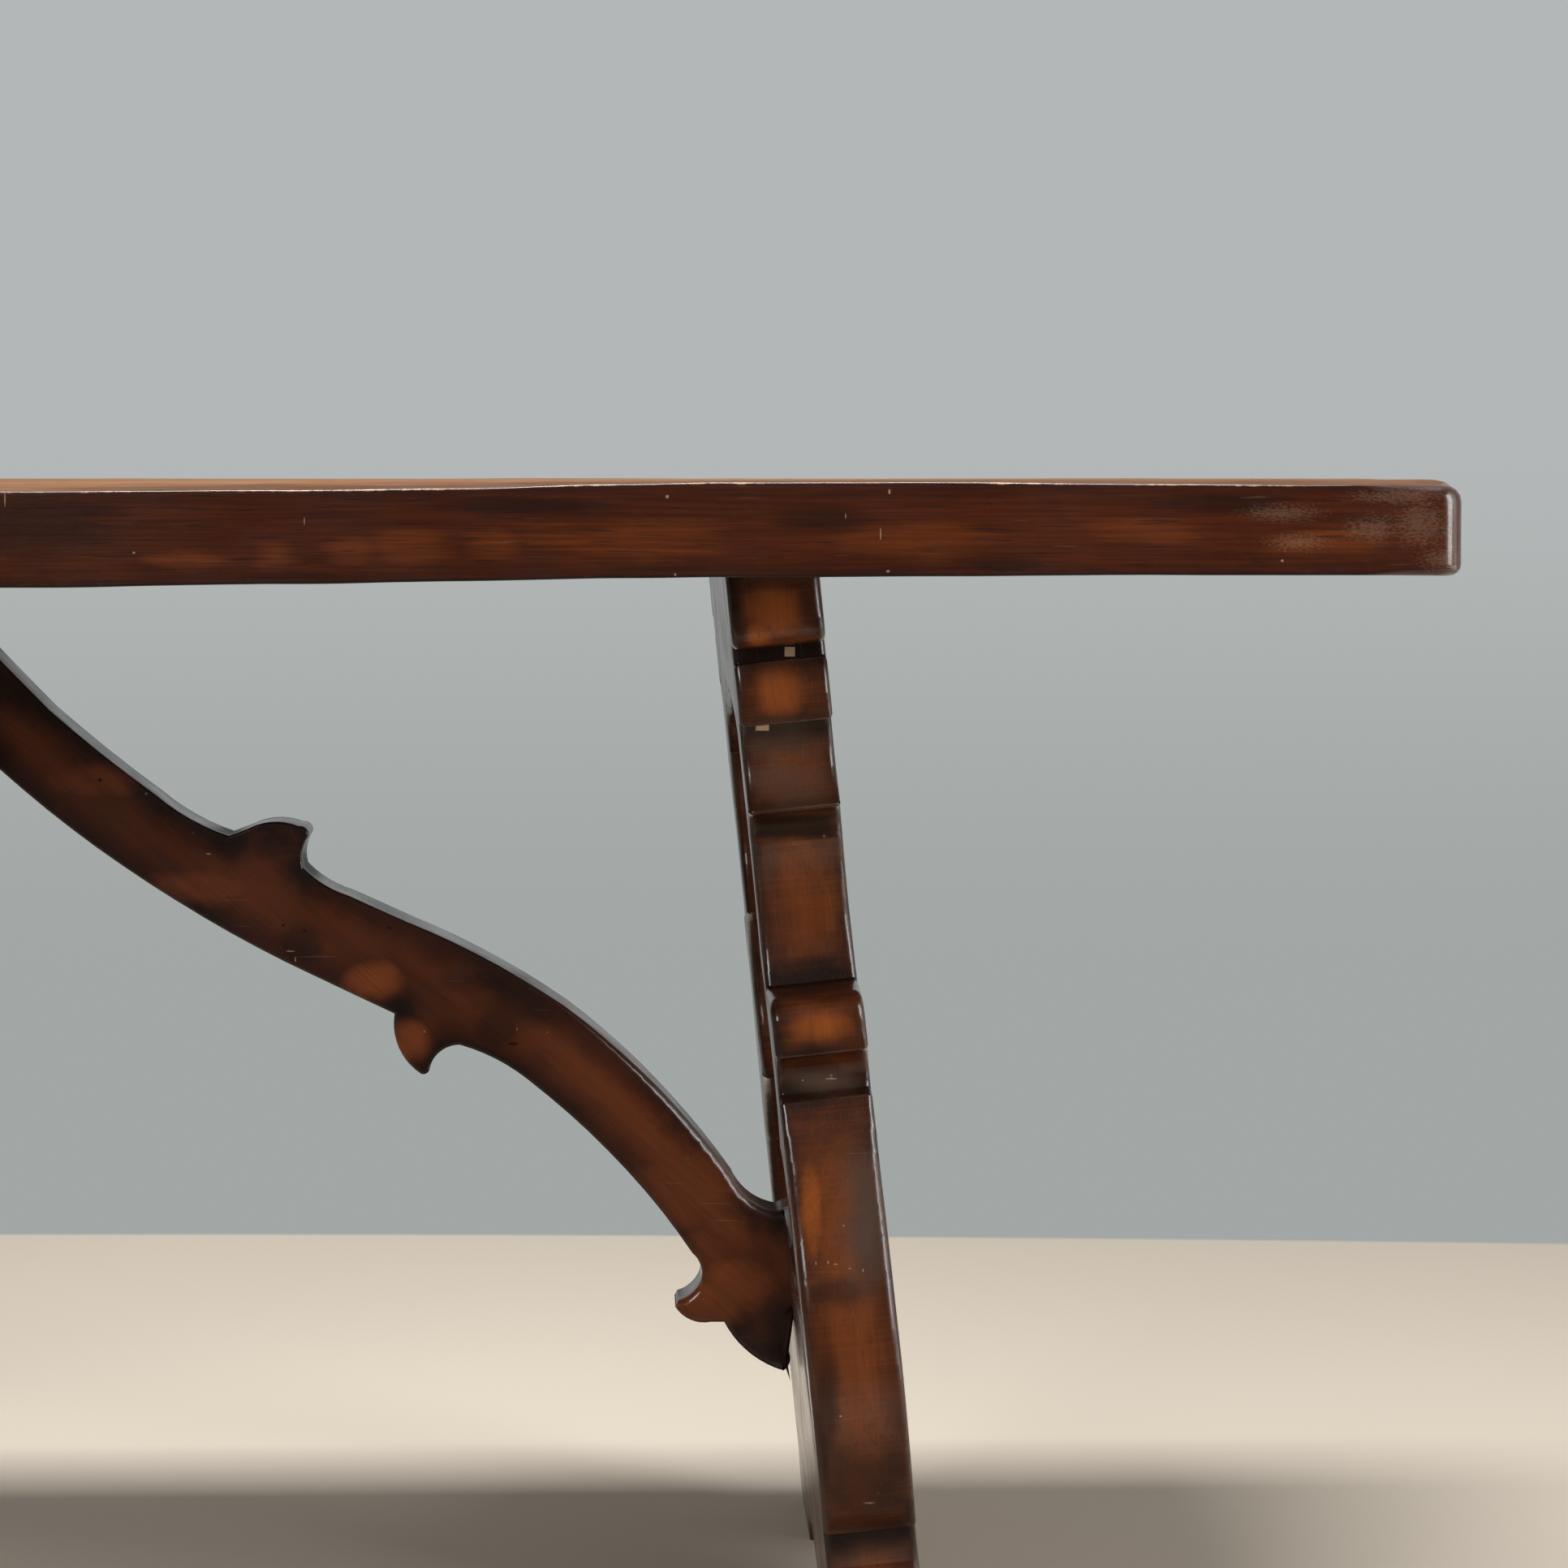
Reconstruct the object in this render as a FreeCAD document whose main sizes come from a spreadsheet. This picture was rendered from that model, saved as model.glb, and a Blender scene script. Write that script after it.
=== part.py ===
"""Refectory table with pierced lyre trestles and scrolled braces.

Millimetres, +Z up. The origin is on the floor at the middle of the table,
+X runs along the table's length and -Y is its front.
"""
import FreeCAD, Part
import Sketcher
import math
import os

doc = FreeCAD.newDocument("refectory_table")

# Driving dimensions of the table, in millimetres and degrees.
DIMENSIONS = {
    "table_length": 2000,
    "table_width": 800,
    "table_height": 780,
    "top_thickness": 58,
    "middle_board_width": 260,
    "corner_radius": 14,
    "trestle_thickness": 58,
    "trestle_head_place": 591,
    "splay_angle": 5.8,
    "trestle_half_width": 338,
    "block_half_width": 150,
    "brace_thickness": 50,
    "batten_width": 60,
    "batten_depth": 78,
    "batten_length": 560,
    "batten_end_radius": 28,
    "tenon_width": 60,
    "tenon_thickness": 18,
    "tenon_length": 60,
    "tenon_place": 215,
    "tongue_thickness": 14,
    "tongue_depth": 36,
    "tongue_height": 50,
    "brace_tongue_depth": 30,
    "brace_tongue_height": 32,
    "joint_clearance": 0.2,
    "screw_shank_diameter": 6,
    "screw_head_diameter": 12,
    "screw_head_height": 4,
    "screw_length": 62,
    "screw_sink": 38,
    "screw_slot_width": 1.4,
    "screw_slot_depth": 1.6,
    "screw_spacing": 210,
    "overrun": 40,
}

sheet = doc.addObject("Spreadsheet::Sheet", "Sizes")
for row, (alias, number) in enumerate(DIMENSIONS.items(), start=1):
    sheet.set(f"A{row}", alias)
    sheet.set(f"B{row}", str(number))
    sheet.setAlias(f"B{row}", alias)
doc.recompute()


class Size:
    """A size with the sheet expression that gives it."""

    def __init__(self, value, text):
        self.value = value
        self.text = text

    def join(self, sign, other, value):
        other_text = other.text if isinstance(other, Size) else repr(other)
        return Size(value, f"({self.text} {sign} {other_text})")

    def __add__(self, other):
        return self.join("+", other, self.value + number(other))

    def __sub__(self, other):
        return self.join("-", other, self.value - number(other))

    def __mul__(self, other):
        return self.join("*", other, self.value * number(other))

    def __truediv__(self, other):
        return self.join("/", other, self.value / number(other))

    def __neg__(self):
        return Size(-self.value, f"(-1 * {self.text})")


def number(item):
    """The plain value of a Size or of a number."""
    return item.value if isinstance(item, Size) else item


def sized(alias):
    """The size that the sheet holds under an alias."""
    return Size(float(sheet.get(alias)), f"Sizes.{alias}")


def cosine_of(angle):
    return Size(math.cos(math.radians(angle.value)), f"cos({angle.text} * 1 deg)")


def tangent_of(angle):
    return Size(math.tan(math.radians(angle.value)), f"tan({angle.text} * 1 deg)")


length = sized("table_length")
width = sized("table_width")
height = sized("table_height")
top_thickness = sized("top_thickness")
underside = height - top_thickness
middle_board = sized("middle_board_width")
side_board = (width - middle_board) / 2
plank = sized("trestle_thickness")
splay = sized("splay_angle")
rise = underside / cosine_of(splay)
half_width = sized("trestle_half_width")
block_half = sized("block_half_width")
brace_thickness = sized("brace_thickness")
batten_width = sized("batten_width")
batten_depth = sized("batten_depth")
clearance = sized("joint_clearance")
overrun = sized("overrun")
zero = Size(0.0, "0")


def new_body(label):
    """A body whose label names its part."""
    body = doc.addObject("PartDesign::Body", label)
    body.Label = label
    return body


def origin_plane(body, role):
    return next(item for item in body.Origin.OriginFeatures if item.Role == role)


def new_sketch(body, name, support):
    """A sketch on an origin plane, given by its role, or on a face of the body."""
    sketch = body.newObject("Sketcher::SketchObject", name)
    plane = (origin_plane(body, support), "") if isinstance(support, str) else support
    sketch.AttachmentSupport = [plane]
    sketch.MapMode = "FlatFace"
    return sketch


def pins(index, end, place):
    """The constraints that tie one end of a sketch element to its two sizes."""
    ties = []
    for kind, axis, size in (("DistanceX", -2, place[0]), ("DistanceY", -1, place[1])):
        if size.value == 0:
            ties.append((Sketcher.Constraint("PointOnObject", index, end, axis), None))
        else:
            ties.append((Sketcher.Constraint(kind, index, end, size.value), size.text))
    return ties


def flat(place):
    return FreeCAD.Vector(number(place[0]), number(place[1]), 0)


def arc_through(start, middle, finish):
    """An arc through three places, and its two ends in the order of the path."""
    first, second, third = flat(start), flat(middle), flat(finish)
    centre = Part.Circle(first, second, third).Center
    forward = (second - first).cross(third - second).z > 0
    ends = (first, third) if forward else (third, first)
    angles = [math.atan2(end.y - centre.y, end.x - centre.x) for end in ends]
    circle = Part.Circle(centre, FreeCAD.Vector(0, 0, 1), (first - centre).Length)
    return Part.ArcOfCircle(circle, *angles), ((1, 2) if forward else (2, 1))


def trace(sketch, path):
    """Draw a closed outline: places joined by lines, or by arcs through a middle place."""
    curves = []
    starts = []
    marks = []
    here = path[0]
    for step in path[1:] + [path[0]]:
        if isinstance(step[0], tuple):
            middle, there = step
            curve, order = arc_through(here, middle, there)
            marks.append((len(curves), middle))
        elif (flat(step) - flat(here)).Length > 0:
            there = step
            curve, order = Part.LineSegment(flat(here), flat(there)), (1, 2)
        else:
            continue
        curves.append(curve)
        starts.append((here, order))
        here = there
    sketch.addGeometry(curves, False)
    sketch.addGeometry([Part.Point(flat(middle)) for _, middle in marks], True)
    ties = []
    for index, (place, order) in enumerate(starts):
        ties += pins(index, order[0], place)
        before = (index - 1) % len(starts)
        joint = Sketcher.Constraint("Coincident", before, starts[before][1][1], index, order[0])
        ties.append((joint, None))
    for mark, (index, middle) in enumerate(marks, start=len(curves)):
        ties += pins(mark, 1, middle)
        ties.append((Sketcher.Constraint("PointOnObject", mark, 1, index), None))
    rows = sketch.addConstraint([constraint for constraint, _ in ties])
    for row, (_, text) in zip(rows, ties):
        if text:
            sketch.setExpression(f"Constraints[{row}]", text)


def rectangle(sketch, left, low, right, high):
    trace(sketch, [(left, low), (right, low), (right, high), (left, high)])


def pad(body, sketch, depth, midplane=False):
    feature = body.newObject("PartDesign::Pad", sketch.Name + "_pad")
    feature.Profile = sketch
    feature.Midplane = midplane
    feature.setExpression("Length", depth.text)
    body.Tip = feature
    doc.recompute()
    return feature


# Outlines of one half of a trestle. A place is (share of the half width, share of
# the rise); a pair of places is an arc, given by a middle place and its end.
post_outer_shares = [
    (0.888, 0.961),
    ((0.877, 0.947), (0.846, 0.939)),
    (0.802, 0.939),
    (0.802, 0.926),
    (0.825, 0.926),
    ((0.834, 0.898), (0.825, 0.872)),
    (0.743, 0.870),
    ((0.735, 0.829), (0.775, 0.797)),
    (0.770, 0.794),
    ((0.735, 0.786), (0.723, 0.767)),
    ((0.686, 0.700), (0.710, 0.641)),
    (0.840, 0.639),
    ((0.871, 0.633), (0.885, 0.616)),
    (0.883, 0.589),
    ((0.842, 0.580), (0.826, 0.553)),
    (0.852, 0.548),
    ((0.889, 0.500), (0.938, 0.452)),
    ((1.000, 0.330), (0.893, 0.179)),
    (0.888, 0.175),
    (0.840, 0.171),
    ((0.846, 0.107), (0.959, 0.058)),
    ((0.988, 0.040), (0.997, 0.017)),
]
foot_heel_shares = [(0.609, 0.006), ((0.590, 0.022), (0.546, 0.029))]
lyre_edge_shares = [
    ((0.663, 0.316), (0.840, 0.255)),
    ((0.879, 0.330), (0.805, 0.407)),
    ((0.686, 0.463), (0.506, 0.485)),
    ((0.615, 0.571), (0.503, 0.651)),
    ((0.556, 0.730), (0.506, 0.812)),
]
head_corner_share = (0.497, 0.842)
head_joint_share = 0.856
head_arch_share = 0.884
bridge_foot_share = 0.035
bridge_top_share = 0.346
bridge_shoulder_shares = ((0.337, 0.352), (0.249, 0.376))
bridge_crown_share = 0.398
apron_shares = ((0.300, 0.056), (0.136, 0.045))
apron_drop_share = 0.022
tongue_level_shares = [0.125, 0.275, 0.928]

# Outlines of the brace. A place is (share of the reach from the table's middle to the
# trestle's inner face, share of the underside's height), from the batten down along
# the belly and back up the spine.
brace_belly_shares = [
    ((0.091, 0.863), (0.128, 0.812)),
    ((0.271, 0.715), (0.441, 0.629)),
    (0.559, 0.580),
    ((0.563, 0.549), (0.588, 0.523)),
    ((0.594, 0.523), (0.598, 0.529)),
    ((0.610, 0.544), (0.631, 0.550)),
    ((0.667, 0.538), (0.706, 0.517)),
    ((0.789, 0.454), (0.888, 0.351)),
    ((0.898, 0.332), (0.892, 0.318)),
    ((0.880, 0.309), (0.866, 0.305)),
    ((0.878, 0.292), (0.908, 0.286)),
    (0.923, 0.286),
    ((0.953, 0.255), (0.988, 0.239)),
    ((0.993, 0.242), (0.995, 0.256)),
]
brace_spine_shares = [
    (0.982, 0.390),
    ((0.957, 0.398), (0.932, 0.423)),
    ((0.845, 0.513), (0.748, 0.586)),
    ((0.662, 0.631), (0.574, 0.667)),
    (0.510, 0.692),
    ((0.482, 0.703), (0.461, 0.718)),
    ((0.460, 0.733), (0.467, 0.748)),
    ((0.465, 0.754), (0.456, 0.757)),
    ((0.427, 0.761), (0.401, 0.755)),
    (0.379, 0.748),
    ((0.339, 0.763), (0.299, 0.787)),
    ((0.243, 0.824), (0.185, 0.866)),
]
brace_heel_share = 0.288
brace_neck_share = 0.392
brace_end_shares = (0.902, 0.990)
brace_crook_shares = (0.122, 0.922)
brace_tongue_share = 0.342
batten_tongue_share = 0.934


def placed(shares, across, along):
    """Turn an outline's shares into places in two named sizes."""
    places = []
    for item in shares:
        if isinstance(item[0], tuple):
            places.append(tuple((across * share[0], along * share[1]) for share in item))
        else:
            places.append((across * item[0], along * item[1]))
    return places


def bind(item, **sizes):
    """Tie properties of an object to their sizes."""
    for name, size in sizes.items():
        item.setExpression(name, size.text)
    return item


def box(name, across, deep, high, frame):
    """A box centred on a frame."""
    item = bind(doc.addObject("Part::Box", name), Length=across, Width=deep, Height=high)
    middle = FreeCAD.Vector(-across.value / 2, -deep.value / 2, -high.value / 2)
    item.Placement = frame * FreeCAD.Placement(middle, FreeCAD.Rotation())
    return item


def rod(name, diameter, high, frame):
    """A round rod centred on a frame, along its Z."""
    item = bind(doc.addObject("Part::Cylinder", name), Radius=diameter / 2, Height=high)
    middle = FreeCAD.Vector(0, 0, -high.value / 2)
    item.Placement = frame * FreeCAD.Placement(middle, FreeCAD.Rotation())
    return item


def group(label, items):
    """One object that holds separate solids."""
    item = doc.addObject("Part::Compound", label)
    item.Label = label
    item.Links = items
    return item


def cut(label, base, tool):
    item = doc.addObject("Part::Cut", label)
    item.Label = label
    item.Base = base
    item.Tool = tool
    return item


upright = FreeCAD.Rotation()
half_turn = FreeCAD.Placement(FreeCAD.Vector(), FreeCAD.Rotation(FreeCAD.Vector(0, 0, 1), 180))
ends = {"right": FreeCAD.Placement(), "left": half_turn}
sides = {"front": -1, "back": 1}

lean = tangent_of(splay)
head_place = sized("trestle_head_place")
foot_place = head_place + underside * lean
plank_lean = FreeCAD.Rotation(FreeCAD.Vector(0, 1, 0), -splay.value)
plank_tilt = FreeCAD.Placement(FreeCAD.Vector(foot_place.value, 0, 0), plank_lean)


def at(x, y, z, turn=upright):
    return FreeCAD.Placement(FreeCAD.Vector(number(x), number(y), number(z)), turn)


def inner_face(level):
    """Where the inner face of the leaning plank stands at a level."""
    return head_place - plank / cosine_of(splay) / 2 + (underside - level) * lean


# Loose joints: tongues and tenons, with the same frames for the pieces and their slots.
tenon_place = sized("tenon_place")
tenon_sizes = [sized("tenon_thickness"), sized("tenon_width"), sized("tenon_length")]
tongue_thickness = sized("tongue_thickness")
tongue_sizes = [tongue_thickness, sized("tongue_depth"), sized("tongue_height")]
brace_tongue_sizes = [
    sized("brace_tongue_depth"),
    tongue_thickness,
    sized("brace_tongue_height"),
]
tongue_frames = []
tenon_frames = []
brace_tongue_frames = []
for end in ends.values():
    plank_frame = end * plank_tilt
    for side in sides.values():
        for share in tongue_level_shares:
            tongue_frames.append(plank_frame * at(0, block_half * side, rise * share))
        tenon_frames.append(plank_frame * at(0, tenon_place * side, rise))
    heel_level = underside * brace_tongue_share
    batten_level = underside * batten_tongue_share
    brace_tongue_frames.append(end * at(inner_face(heel_level), 0, heel_level, plank_lean))
    brace_tongue_frames.append(end * at(batten_width / 2, 0, batten_level))


def loose_pieces(name, frames, sizes, gap=zero):
    """Boxes on their frames, larger all round by the gap when they are slots."""
    grown = [size + gap * 2 for size in sizes]
    return [box(f"{name}_{row}", *grown, frame) for row, frame in enumerate(frames, 1)]


trestle_tongues = loose_pieces("trestle_tongue", tongue_frames, tongue_sizes)
brace_tongues = loose_pieces("brace_tongue", brace_tongue_frames, brace_tongue_sizes)
trestle_tenons = loose_pieces("trestle_tenon", tenon_frames, tenon_sizes)
tongue_slots = group(
    "tongue_slots",
    loose_pieces("tongue_slot", tongue_frames, tongue_sizes, clearance),
)
brace_slots = group(
    "brace_slots",
    loose_pieces("brace_slot", brace_tongue_frames, brace_tongue_sizes, clearance),
)
mortises = group("mortises", loose_pieces("mortise", tenon_frames, tenon_sizes, clearance))


# Screws that hold the batten under the top, heads sunk in its underside.
screw_head = sized("screw_head_diameter")
screw_shank = sized("screw_shank_diameter")
screw_head_height = sized("screw_head_height")
screw_length = sized("screw_length")
screw_sink = sized("screw_sink")
slot_width = sized("screw_slot_width")
slot_depth = sized("screw_slot_depth")
screw_spacing = sized("screw_spacing")
screw_row_shares = [-1.0, -0.333, 0.333, 1.0]
screw_foot = underside - batten_depth + screw_sink


def screw(name, frame):
    """A slotted wood screw, head down, with its tip up."""
    shank = rod(name + "_shank", screw_shank, screw_length, frame * at(0, 0, screw_length / 2))
    head = bind(
        doc.addObject("Part::Cone", name + "_cone"),
        Radius1=screw_head / 2,
        Radius2=screw_shank / 2,
        Height=screw_head_height,
    )
    head.Placement = frame
    whole = doc.addObject("Part::Fuse", name + "_whole")
    whole.Base = shank
    whole.Tool = head
    slot_size = (screw_head * 2, slot_width, slot_depth * 2)
    return cut(name, whole, box(name + "_slot", *slot_size, frame))


def screw_bore(name, frame):
    """The hole for a screw: a wide sink below its head and a bore for its shank."""
    wide = screw_head + clearance * 2
    deep = screw_sink + screw_head_height + clearance
    sink_middle = (screw_head_height + clearance - screw_sink) / 2
    sink = rod(name + "_sink", wide, deep, frame * at(0, 0, sink_middle))
    narrow = screw_shank + clearance * 2
    high = screw_length + clearance
    shank = rod(name + "_shank", narrow, high, frame * at(0, 0, high / 2))
    return group(name, [sink, shank])


screw_frames = [at(0, screw_spacing * share, screw_foot) for share in screw_row_shares]
screws = [screw(f"screw_{row}", frame) for row, frame in enumerate(screw_frames, 1)]
screw_holes = group(
    "screw_holes",
    [screw_bore(f"screw_bore_{row}", frame) for row, frame in enumerate(screw_frames, 1)],
)


# Top: three planks glued edge to edge.
def top_board(label, low, wide, rounded):
    """A plank of the top, with the table's corners rounded on its outer edge."""
    body = new_body(label + "_plank")
    sketch = new_sketch(body, label + "_plan", "XY_Plane")
    bind(sketch, **{"AttachmentOffset.Base.z": underside})
    rectangle(sketch, -length / 2, low, length / 2, low + wide)
    plank_pad = pad(body, sketch, top_thickness)
    outer = number(low) if rounded < 0 else number(low + wide)
    names = []
    for row, edge in enumerate(body.Shape.Edges, start=1):
        spot = edge.CenterOfMass
        upright_edge = edge.Vertexes[0].Point.z != edge.Vertexes[-1].Point.z
        if rounded and upright_edge and abs(spot.y - outer) < clearance.value:
            names.append(f"Edge{row}")
    if names:
        fillet = body.newObject("PartDesign::Fillet", label + "_corners")
        fillet.Base = (plank_pad, names)
        bind(fillet, Radius=sized("corner_radius"))
        body.Tip = fillet
        doc.recompute()
    joinery = group(label + "_joinery", [mortises, screw_holes])
    return cut(label, body, joinery)


board_edge = -width / 2
boards = [
    top_board("top_front_board", board_edge, side_board, -1),
    top_board("top_middle_board", board_edge + side_board, middle_board, 0),
    top_board("top_back_board", middle_board / 2, side_board, 1),
]


# Batten: a cross piece under the middle of the top that the braces rise to.
def centre_batten():
    body = new_body("centre_batten_blank")
    half = sized("batten_length") / 2
    radius = sized("batten_end_radius")
    low = underside - batten_depth
    corner = radius * (1 - math.sqrt(0.5))
    sketch = new_sketch(body, "batten_outline", "YZ_Plane")
    path = [(half - radius, low), ((half - corner, low + corner), (half, low + radius))]
    path += [(half, underside), (-half, underside), (-half, low + radius)]
    path += [((-half + corner, low + corner), (-half + radius, low))]
    trace(sketch, path)
    pad(body, sketch, batten_width, midplane=True)
    return cut("centre_batten", body, group("batten_joinery", [screw_holes, brace_slots]))


batten = centre_batten()


# Trestles: each is two scrolled posts with a head block and a bridge between them.
space = doc.addObject("Part::Box", "under_table")
bind(space, Length=length, Width=width, Height=underside)
space.Placement = at(-length / 2, -width / 2, 0)
trestle_joinery = group("trestle_joinery", [tongue_slots, brace_slots, mortises])


def sawn_piece(label, frame, path):
    """A piece of a trestle: sawn from the plank, levelled at floor and top, slotted for its joints."""
    body = new_body(label + "_blank")
    sketch = new_sketch(body, label + "_outline", "YZ_Plane")
    trace(sketch, path)
    pad(body, sketch, plank, midplane=True)
    body.Placement = frame
    level = doc.addObject("Part::Common", label + "_levelled")
    level.Base = body
    level.Tool = space
    return cut(label, level, trestle_joinery)


def post_path(side):
    across = half_width * side
    joint = block_half * side
    outer = placed(post_outer_shares, across, rise)
    heel = placed(foot_heel_shares, across, rise)
    lyre = placed(lyre_edge_shares, across, rise)
    corner = (across * head_corner_share[0], rise * head_corner_share[1])
    top = rise + overrun
    path = [(outer[0][0], top)] + outer
    path += [(outer[-1][1][0], -overrun), (heel[0][0], -overrun)] + heel
    path += [(joint, rise * bridge_foot_share), (joint, rise * bridge_top_share)] + lyre
    path += [(corner, (joint, rise * head_joint_share)), (joint, top)]
    return path


def block_path():
    top = rise + overrun
    joint = rise * head_joint_share
    arch = ((zero, rise * head_arch_share), (-block_half, joint))
    return [(-block_half, top), (block_half, top), (block_half, joint), arch]


def mirrored(place):
    return (-place[0], place[1])


def bridge_path():
    hollow, shoulder = placed([bridge_shoulder_shares], half_width, rise)[0]
    sweep, cusp = placed([apron_shares], half_width, rise)[0]
    top_corner = (block_half, rise * bridge_top_share)
    low_corner = (block_half, rise * bridge_foot_share)
    return [
        low_corner,
        top_corner,
        (hollow, shoulder),
        ((zero, rise * bridge_crown_share), mirrored(shoulder)),
        (mirrored(hollow), mirrored(top_corner)),
        mirrored(low_corner),
        (mirrored(sweep), mirrored(cusp)),
        ((zero, rise * apron_drop_share), cusp),
        (sweep, low_corner),
    ]


trestles = []
for name, end in ends.items():
    plank_frame = end * plank_tilt
    for side, sign in sides.items():
        hand = sign if name == "right" else -sign
        trestles.append(sawn_piece(f"{name}_trestle_{side}_post", plank_frame, post_path(hand)))
    trestles.append(sawn_piece(f"{name}_trestle_head_block", plank_frame, block_path()))
    trestles.append(sawn_piece(f"{name}_trestle_bridge", plank_frame, bridge_path()))


# Braces: scrolled boards from the bridges up to the batten.
def brace_path():
    heel = underside * brace_heel_share
    neck = underside * brace_neck_share
    reach = inner_face(heel)
    belly = placed(brace_belly_shares, reach, underside)
    spine = placed(brace_spine_shares, reach, underside)
    low_end = (batten_width / 2, underside * brace_end_shares[0])
    high_end = (batten_width / 2, underside * brace_end_shares[1])
    crook = (reach * brace_crook_shares[0], underside * brace_crook_shares[1])
    seat = [(inner_face(heel), heel), (inner_face(neck), neck)]
    return [low_end] + belly + seat + spine + [(crook, high_end)]


def brace(label, end):
    body = new_body(label + "_blank")
    sketch = new_sketch(body, label + "_outline", "XZ_Plane")
    trace(sketch, brace_path())
    pad(body, sketch, brace_thickness, midplane=True)
    body.Placement = end
    return cut(label, body, brace_slots)


braces = [brace(f"{name}_brace", end) for name, end in ends.items()]

nodes = boards + [batten] + trestles + braces
nodes += [
    group("trestle_tenons", trestle_tenons),
    group("trestle_tongues", trestle_tongues),
    group("brace_tongues", brace_tongues),
    group("batten_screws", screws),
]
doc.recompute()

for item in doc.Objects:
    if "Invalid" in item.State or "Error" in item.State:
        raise RuntimeError(f"{item.Name} failed: {item.State}")
for node in nodes:
    if node.Shape.isNull() or not node.Shape.isValid() or not node.Shape.Solids:
        raise RuntimeError(f"{node.Label} has no sound shape")

os.makedirs("parts", exist_ok=True)
for node in nodes:
    node.Shape.exportStep(f"parts/{node.Label}.step")
    solids = len(node.Shape.Solids)
    print(node.Label, solids, "solids,", round(node.Shape.Volume), "mm3", node.Shape.BoundBox)
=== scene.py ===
# %% [markdown]
# This lesson dresses an old refectory table: a thick dark walnut top, two leaning plank
# trestles pierced like a lyre, and a scrolled brace from each trestle up to the middle of
# the top. The solids come from the frame at their real size. Blender adds what hands and
# years gave the real one: rounded arrises, a slight wobble, dark stain and a glossy skin.

# %% Load the frame
import math

import bmesh
import bpy
from mathutils import Matrix, Vector, kdtree, noise
from mathutils.bvhtree import BVHTree


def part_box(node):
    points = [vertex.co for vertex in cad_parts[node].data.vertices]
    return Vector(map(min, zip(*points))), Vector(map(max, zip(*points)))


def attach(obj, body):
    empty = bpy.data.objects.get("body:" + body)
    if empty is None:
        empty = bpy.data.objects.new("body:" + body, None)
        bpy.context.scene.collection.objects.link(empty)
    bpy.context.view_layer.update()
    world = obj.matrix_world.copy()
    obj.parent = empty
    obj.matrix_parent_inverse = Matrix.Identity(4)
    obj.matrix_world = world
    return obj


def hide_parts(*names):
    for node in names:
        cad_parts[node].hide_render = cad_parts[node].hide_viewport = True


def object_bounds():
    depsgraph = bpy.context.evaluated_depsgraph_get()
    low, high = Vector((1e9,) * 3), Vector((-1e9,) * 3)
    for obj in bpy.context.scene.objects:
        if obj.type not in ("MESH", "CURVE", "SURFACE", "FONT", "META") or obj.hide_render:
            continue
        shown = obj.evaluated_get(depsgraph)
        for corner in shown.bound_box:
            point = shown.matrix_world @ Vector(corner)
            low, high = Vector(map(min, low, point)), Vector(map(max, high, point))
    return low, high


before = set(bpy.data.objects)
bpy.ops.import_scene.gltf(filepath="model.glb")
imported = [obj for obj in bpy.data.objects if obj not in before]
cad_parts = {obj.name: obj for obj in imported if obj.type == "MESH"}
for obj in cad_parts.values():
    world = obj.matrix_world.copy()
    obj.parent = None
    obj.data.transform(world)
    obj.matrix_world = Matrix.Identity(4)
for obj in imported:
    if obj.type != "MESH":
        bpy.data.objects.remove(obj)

scene = bpy.context.scene
cad_low, cad_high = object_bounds()
print("The solids measure", [round(size, 3) for size in cad_high - cad_low], "metres")


# %% [markdown]
# The camera stands in front of the right-hand half, at the height of the top, so that the
# long edge is seen level and the trestle edge-on. A long lens keeps the lines straight.
# Its focal length is given in pixels, as it was solved from the picture's vanishing points,
# and turned into the millimetres that Blender asks for.

# %% Camera
IMAGE_PIXELS = 1932
FOCAL_PIXELS = 5615
SENSOR_MM = 36.0
CAMERA_PLACE = (0.496, -3.10, 0.784)
CAMERA_PITCH_DOWN = math.radians(3.90)
CAMERA_TURN_RIGHT = math.radians(2.08)

view = bpy.data.cameras.new("view")
view.sensor_width = SENSOR_MM
view.lens = SENSOR_MM * FOCAL_PIXELS / IMAGE_PIXELS
camera = bpy.data.objects.new("view", view)
camera.location = CAMERA_PLACE
camera.rotation_euler = (math.pi / 2 - CAMERA_PITCH_DOWN, 0, -CAMERA_TURN_RIGHT)
scene.collection.objects.link(camera)
scene.camera = camera
bpy.context.view_layer.update()
print("Lens:", round(view.lens, 1), "mm")


# %% [markdown]
# Marks such as knots and nicks are found in the picture first. This helper follows the
# sight line through a pixel to an upright plane, which gives the mark's place in metres.

# %% From a pixel to a place
def seen_at(column, row, plane_y):
    """Where the sight line through a pixel meets the plane at plane_y."""
    half = IMAGE_PIXELS / 2
    ray = Vector(((column - half) / FOCAL_PIXELS, (half - row) / FOCAL_PIXELS, -1))
    ray = camera.matrix_world.to_3x3() @ ray
    start = camera.matrix_world.translation
    return start + ray * ((plane_y - start.y) / ray.y)


print("The image centre meets the front edge at", seen_at(966, 966, cad_low.y)[:])


# %% [markdown]
# The studio and every finish are graphs of nodes, so a small helper keeps the cells short:
# one call adds a node, sets it, and feeds its inputs with numbers or with other outputs.
# The nodes could be placed by hand in the Shader Editor, but a call can be used again.

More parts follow.
